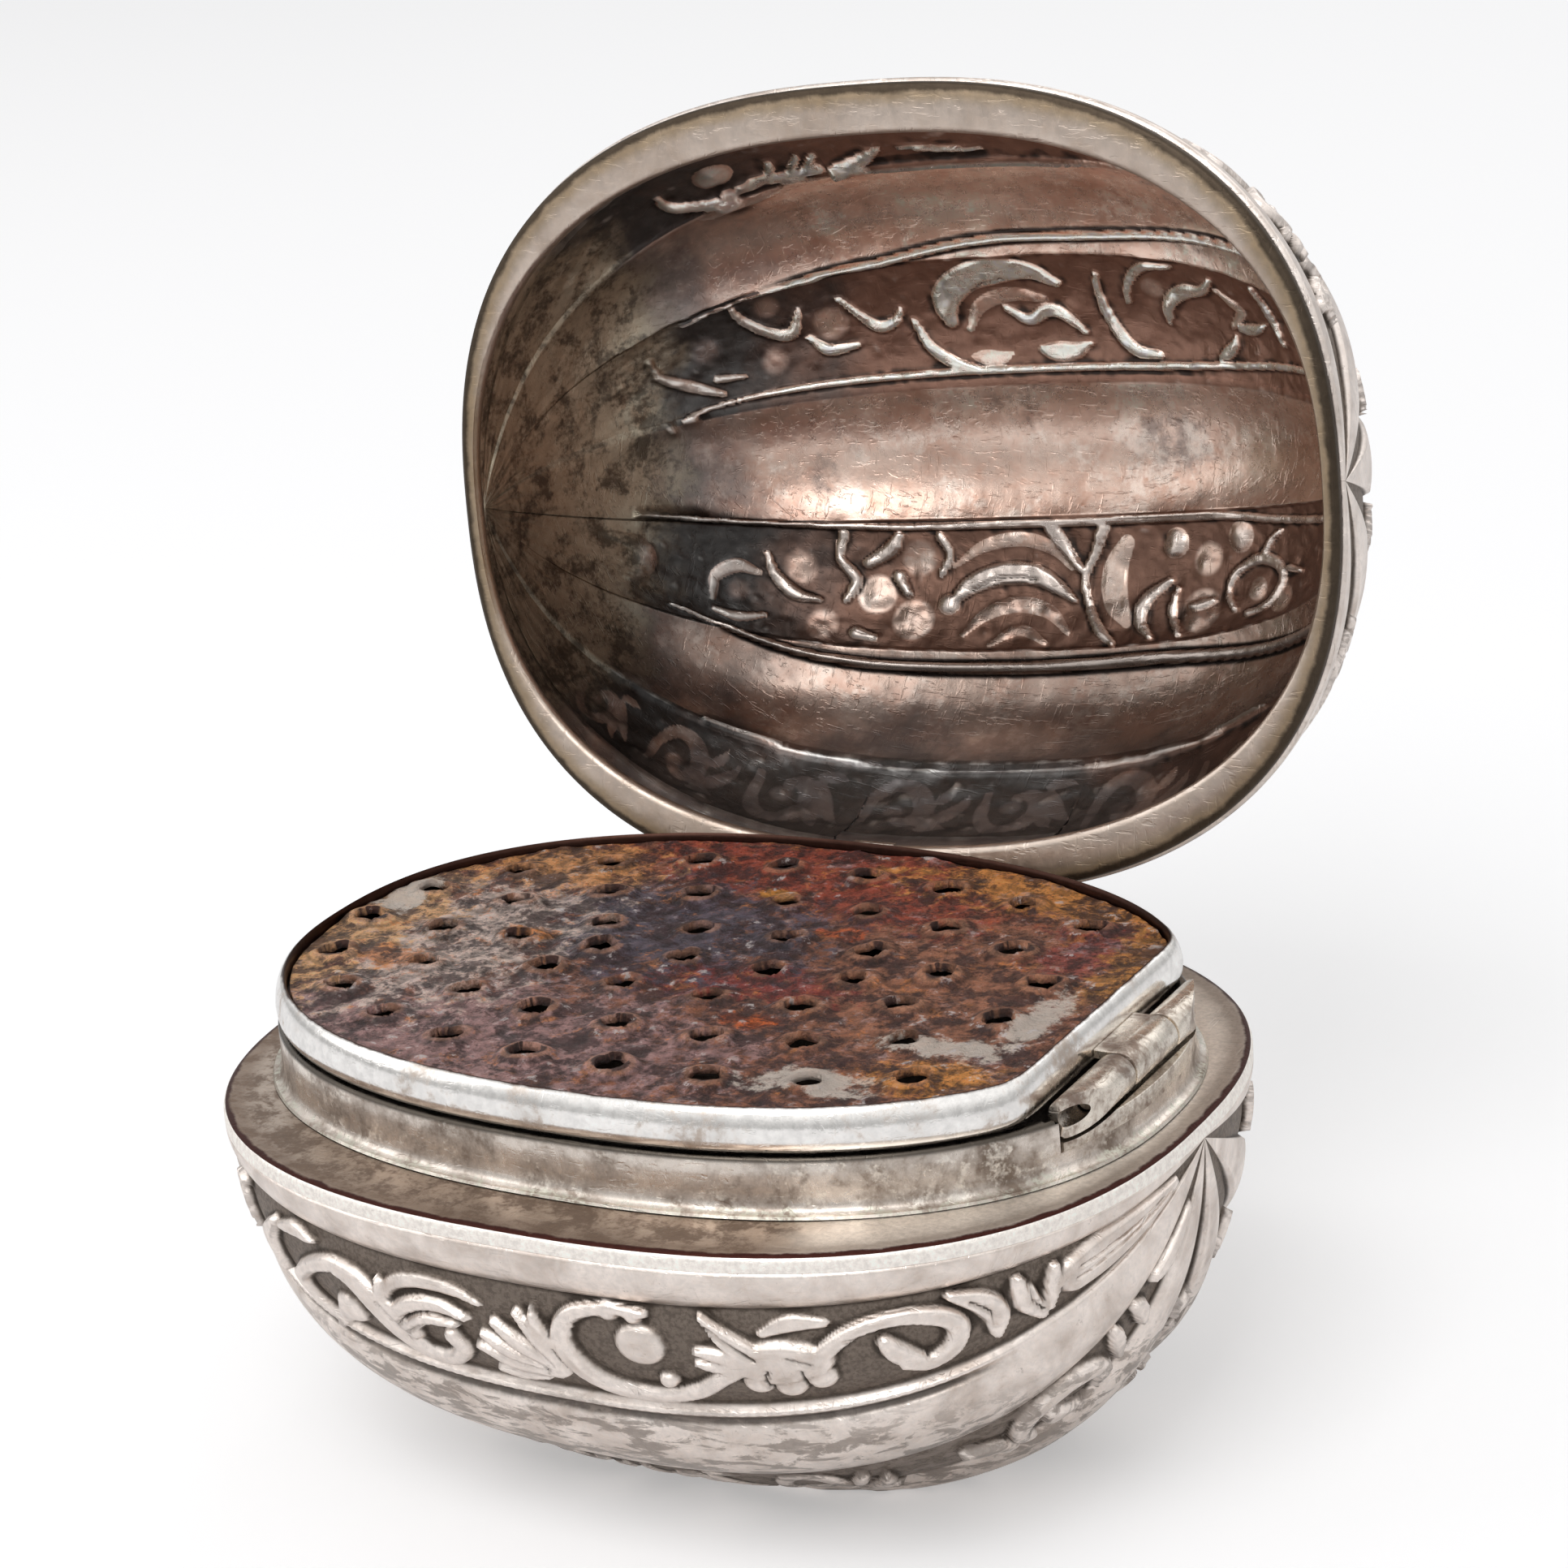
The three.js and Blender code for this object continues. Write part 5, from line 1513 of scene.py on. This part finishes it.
def rusty_iron():
    material, tree, shader = start_material("rusty_iron")
    place = in_mm(tree)
    lip = value_of(tree, "lip")
    broad = sums(tree, "SUBTRACT", noise(tree, place, 0.45, 6.0, 0.65), 0.5)
    close = sums(tree, "SUBTRACT", noise(tree, place, 1.3, 8.0, 0.75), 0.5)
    warp = sums(tree, "MULTIPLY_ADD", broad, 1.8, times(tree, close, 3.4))
    crusts = bloomed(tree, 0.8, 0.45, 0.07, 31.0)
    colour = blend(tree, crusts.outputs["Mask"], (0.4, 0.15, 0.08, 1), (0.12, 0.055, 0.045, 1))
    zones = (
        ((10, 2), (6.5, 9), (0.5, 0.21, 0.12), 0.75), ((-6, -9), (11, 5), (0.5, 0.29, 0.28), 0.85),
        ((0, 10), (11, 4.4), (0.48, 0.08, 0.04), 0.85), ((0.5, -1.2), (5, 2), (0.36, 0.04, 0.035), 0.8),
        ((14, 6), (3, 3.4), (0.4, 0.07, 0.06), 0.8), ((-5, 3), (7.5, 5.2), (0.12, 0.11, 0.15), 0.9),
        ((-12, -1), (4.5, 7), (0.95, 0.74, 0.64), 0.85), ((-17.4, -2), (3.4, 8), (1.0, 0.56, 0.26), 0.95),
        ((-12, 8), (4, 2.6), (1.0, 0.46, 0.16), 0.8), ((11, 11), (8, 2.6), (0.95, 0.4, 0.1), 0.9),
        ((15.4, 6), (1.6, 5), (0.8, 0.36, 0.08), 0.8), ((13, -7.6), (2.8, 1.6), (0.85, 0.32, 0.07), 0.85),
        ((-9.4, 0.5), (1.1, 0.9), (0.9, 0.3, 0.03), 0.9), ((3.7, -4.8), (1.3, 0.7), (0.85, 0.16, 0.02), 0.9),
        ((-2, 7.6), (1.1, 0.7), (0.9, 0.4, 0.06), 0.8), ((2.8, 4.4), (1.0, 0.6), (0.85, 0.16, 0.03), 0.8),
        ((-13.6, -3.4), (1.8, 1), (0.9, 0.28, 0.04), 0.7), ((13.4, -7.6), (2.6, 1.4), (1.0, 0.42, 0.1), 0.8),
    )
    pale = (((13.9, -1.2), (0.9, 2.4)), ((11.8, -4.8), (2.6, 0.9)), ((8.4, -9.2), (2.4, 1.1)),
            ((-17, 3), (1, 1.8)))
    for centre, size, tone, amount in zones:
        colour = tinted(tree, patch(tree, place, warp, centre, size), amount, colour, tone)
    colour, _ = flecks(tree, colour, 1.3, 0.33, 81.0, (0.95, 0.34, 0.09), 0.7)
    colour, _ = flecks(tree, colour, 1.2, 0.33, 91.0, (0.62, 0.48, 0.5), 0.5)
    colour, fine = flecks(tree, colour, 1.5, 0.47, 71.0, (0.045, 0.016, 0.016), 0.85)
    # Round each hole: a dark ring at the lip's foot, a painted highlight on its upper part, painted shade at
    # its top edge.
    ring = times(tree, ramp(tree, lip, 0.03, 0.2), ramp(tree, lip, 0.5, 0.28))
    colour = tinted(tree, ring, 0.45, colour, (0.03, 0.016, 0.014))
    colour = tinted(tree, ramp(tree, lip, 0.5, 0.7), 0.4, colour, (0.8, 0.4, 0.24))
    colour = blend(tree, ramp(tree, lip, 0.88, 0.97), colour, (0.1, 0.045, 0.035, 1))
    # Painted shade and light of the crust: where the bump is low the rust is painted darker, where it is high
    # lighter.
    lumpy = sums(tree, "MULTIPLY_ADD", noise(tree, place, 1.5, 8.0, 0.78), 0.85,
                 times(tree, value_of(tree, "lump"), 0.15))
    shade = ramp(tree, lumpy, 0.37, 0.6, 0.42, 1.3)
    colour = dimmed(tree, colour, shade)
    for centre, size in pale:
        mask = patch(tree, place, times(tree, warp, 0.9), centre, size)
        colour = tinted(tree, mask, 0.85, colour, (1.0, 0.87, 0.76))
    # Painted glints: pale specks on the highest places of the crust.
    glints = times(tree, ramp(tree, lumpy, 0.585, 0.63),
                   ramp(tree, noise(tree, place, 0.3, 3.0, 0.5), 0.42, 0.55))
    colour = tinted(tree, glints, 0.75, colour, (0.95, 0.86, 0.84))
    tree.links.new(colour, shader.inputs["Base Color"])
    tree.links.new(ramp(tree, crusts.outputs["Mask"], 0, 1, 0.0, 0.2), shader.inputs["Metallic"])
    tree.links.new(ramp(tree, fine.outputs["Fine"], 0.3, 0.7, 0.24, 0.6), shader.inputs["Roughness"])
    relief = sums(tree, "MULTIPLY_ADD", fine.outputs["Mask"], -0.15, lumpy)
    bumped(tree, shader, relief, 0.8, 0.8)
    return material


iron = rusty_iron()
print("the rust takes", len(iron.node_tree.nodes), "nodes")

# %% Put them on
def dress(piece, material):
    piece.data.materials.clear()
    piece.data.materials.append(material)


for piece, material in (
        (shell, chased_silver), (ledge, ledge_silver), (collar, collar_silver), (frame_ring, frame_silver),
        (plate, iron), (gutter, hinge_silver), (front_knuckle, hinge_silver), (back_knuckle, hinge_silver),
        (middle_knuckle, hinge_silver), (outside_skin, chased_silver), (lining, lining_silver),
        (flange, flange_silver)):
    dress(piece, material)
for piece in lid_hinge_pieces:
    dress(piece, hinge_silver)
for node in ("grater_hinge_pin", "lid_hinge_pin"):
    for slot in bpy.data.objects[node].material_slots:
        slot.material = pin_silver

# %% [markdown]
# ## Floor, light and camera
# The nut stands on a pale sheet in even studio light. The floor shows nearly white to the camera
# and to reflections, and keeps the soft shadow. The camera stands where the photographer stood: a
# little above the rim, to the right of the front, and tilted by a few degrees.

# %% The floor and the world
def white_room():
    clear_selection()
    bpy.ops.mesh.primitive_plane_add(size=3, location=(0, 0, 0))
    floor = bpy.context.object
    floor.name = "floor"
    material = bpy.data.materials.new("pale_floor")
    material.use_nodes = True
    tree = material.node_tree
    shader = tree.nodes["Principled BSDF"]
    shader.inputs["Base Color"].default_value = (0.86, 0.86, 0.87, 1)
    shader.inputs["Roughness"].default_value = 0.9
    shader.inputs["Specular IOR Level"].default_value = 0.0
    rays = add(tree, "ShaderNodeLightPath").outputs
    seen = times(tree, rays["Is Camera Ray"], 0.33)
    mirrored = times(tree, rays["Is Glossy Ray"], 0.12)
    glow = add(tree, "ShaderNodeEmission", ("Color", (1, 1, 1, 1)),
               ("Strength", sums(tree, "ADD", seen, mirrored)))
    both = add(tree, "ShaderNodeAddShader", (0, shader.outputs[0]), (1, glow.outputs[0]))
    tree.links.new(both.outputs[0], tree.nodes["Material Output"].inputs[0])
    dress(floor, material)
    floor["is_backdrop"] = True


def light_world():
    world = bpy.data.worlds.new("studio")
    bpy.context.scene.world = world
    world.use_nodes = True
    tree = world.node_tree
    rays = add(tree, "ShaderNodeLightPath")
    direction = add(tree, "ShaderNodeTexCoord").outputs["Generated"]
    up = add(tree, "ShaderNodeSeparateXYZ", (0, direction)).outputs[2]
    room = ramp(tree, up, 0.0, 0.5, 0.5, 1.0)
    mirrored = sums(tree, "MAXIMUM", rays.outputs["Is Glossy Ray"], rays.outputs["Is Transmission Ray"])
    soft = ramp(tree, mirrored, 0.0, 1.0, 0.5, room)
    strength = sums(tree, "MAXIMUM", soft, rays.outputs["Is Camera Ray"])
    tree.links.new(strength, tree.nodes["Background"].inputs["Strength"])
    tree.nodes["Background"].inputs["Color"].default_value = (1, 1, 1, 1)


white_room()
light_world()
print("the room is", bpy.context.scene.world.name)

# %% Lamps
def lamp(name, place, power, size):
    data = bpy.data.lights.new(name, "AREA")
    data.energy, data.size, data.shape = power, size, "SQUARE"
    lamp_object = bpy.data.objects.new(name, data)
    bpy.context.scene.collection.objects.link(lamp_object)
    lamp_object.location = place
    aim = Vector((0, 0.005, 0.02)) - Vector(place)
    lamp_object.rotation_euler = aim.to_track_quat("-Z", "Y").to_euler()
    print(name, "stands", round(aim.length, 2), "m away and gives", power, "W")


lamp("key", (0.02, -0.3, 0.42), 0.9, 0.3)
lamp("fill", (-0.42, -0.2, 0.25), 0.32, 0.35)
lamp("behind", (0.05, 0.4, 0.4), 0.25, 0.4)

# %% Camera
focal_length, photo_width = 5014, 1932


def place_camera():
    """The camera fitted to the photograph; its focal length is counted in the photograph's pixels."""
    azimuth, elevation, roll = math.radians(29.706), math.radians(18.902), math.radians(-4.381)
    distance, target = 161.66, Vector((0.3, 5.0, 24.625))
    away = Vector((math.sin(azimuth) * math.cos(elevation), -math.cos(azimuth) * math.cos(elevation),
                   math.sin(elevation)))
    side = Vector((math.cos(azimuth), math.sin(azimuth), 0))
    above = away.cross(side)
    right = math.cos(roll) * side + math.sin(roll) * above
    up = -math.sin(roll) * side + math.cos(roll) * above
    data = bpy.data.cameras.new("photographer")
    data.sensor_width = 36
    data.lens = focal_length / photo_width * data.sensor_width
    data.clip_start, data.clip_end = 0.01, 10
    camera = bpy.data.objects.new("photographer", data)
    bpy.context.scene.collection.objects.link(camera)
    place = (target + distance * away) * MM
    camera.matrix_world = Matrix((
        (right.x, up.x, away.x, place.x), (right.y, up.y, away.y, place.y),
        (right.z, up.z, away.z, place.z), (0, 0, 0, 1)))
    bpy.context.scene.camera = camera
    print("the camera is", round(place.length * 1000), "mm from the foot")


place_camera()
bpy.context.scene.view_settings.view_transform = "Standard"

# %% The model's box and the finished box
visual_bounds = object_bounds()


def plain(box):
    return [[float(number) for number in corner] for corner in box]


{"cad": plain(cad_bounds), "visual": plain(visual_bounds)}
print("model's box", plain(cad_bounds))
print("finished box", plain(visual_bounds))
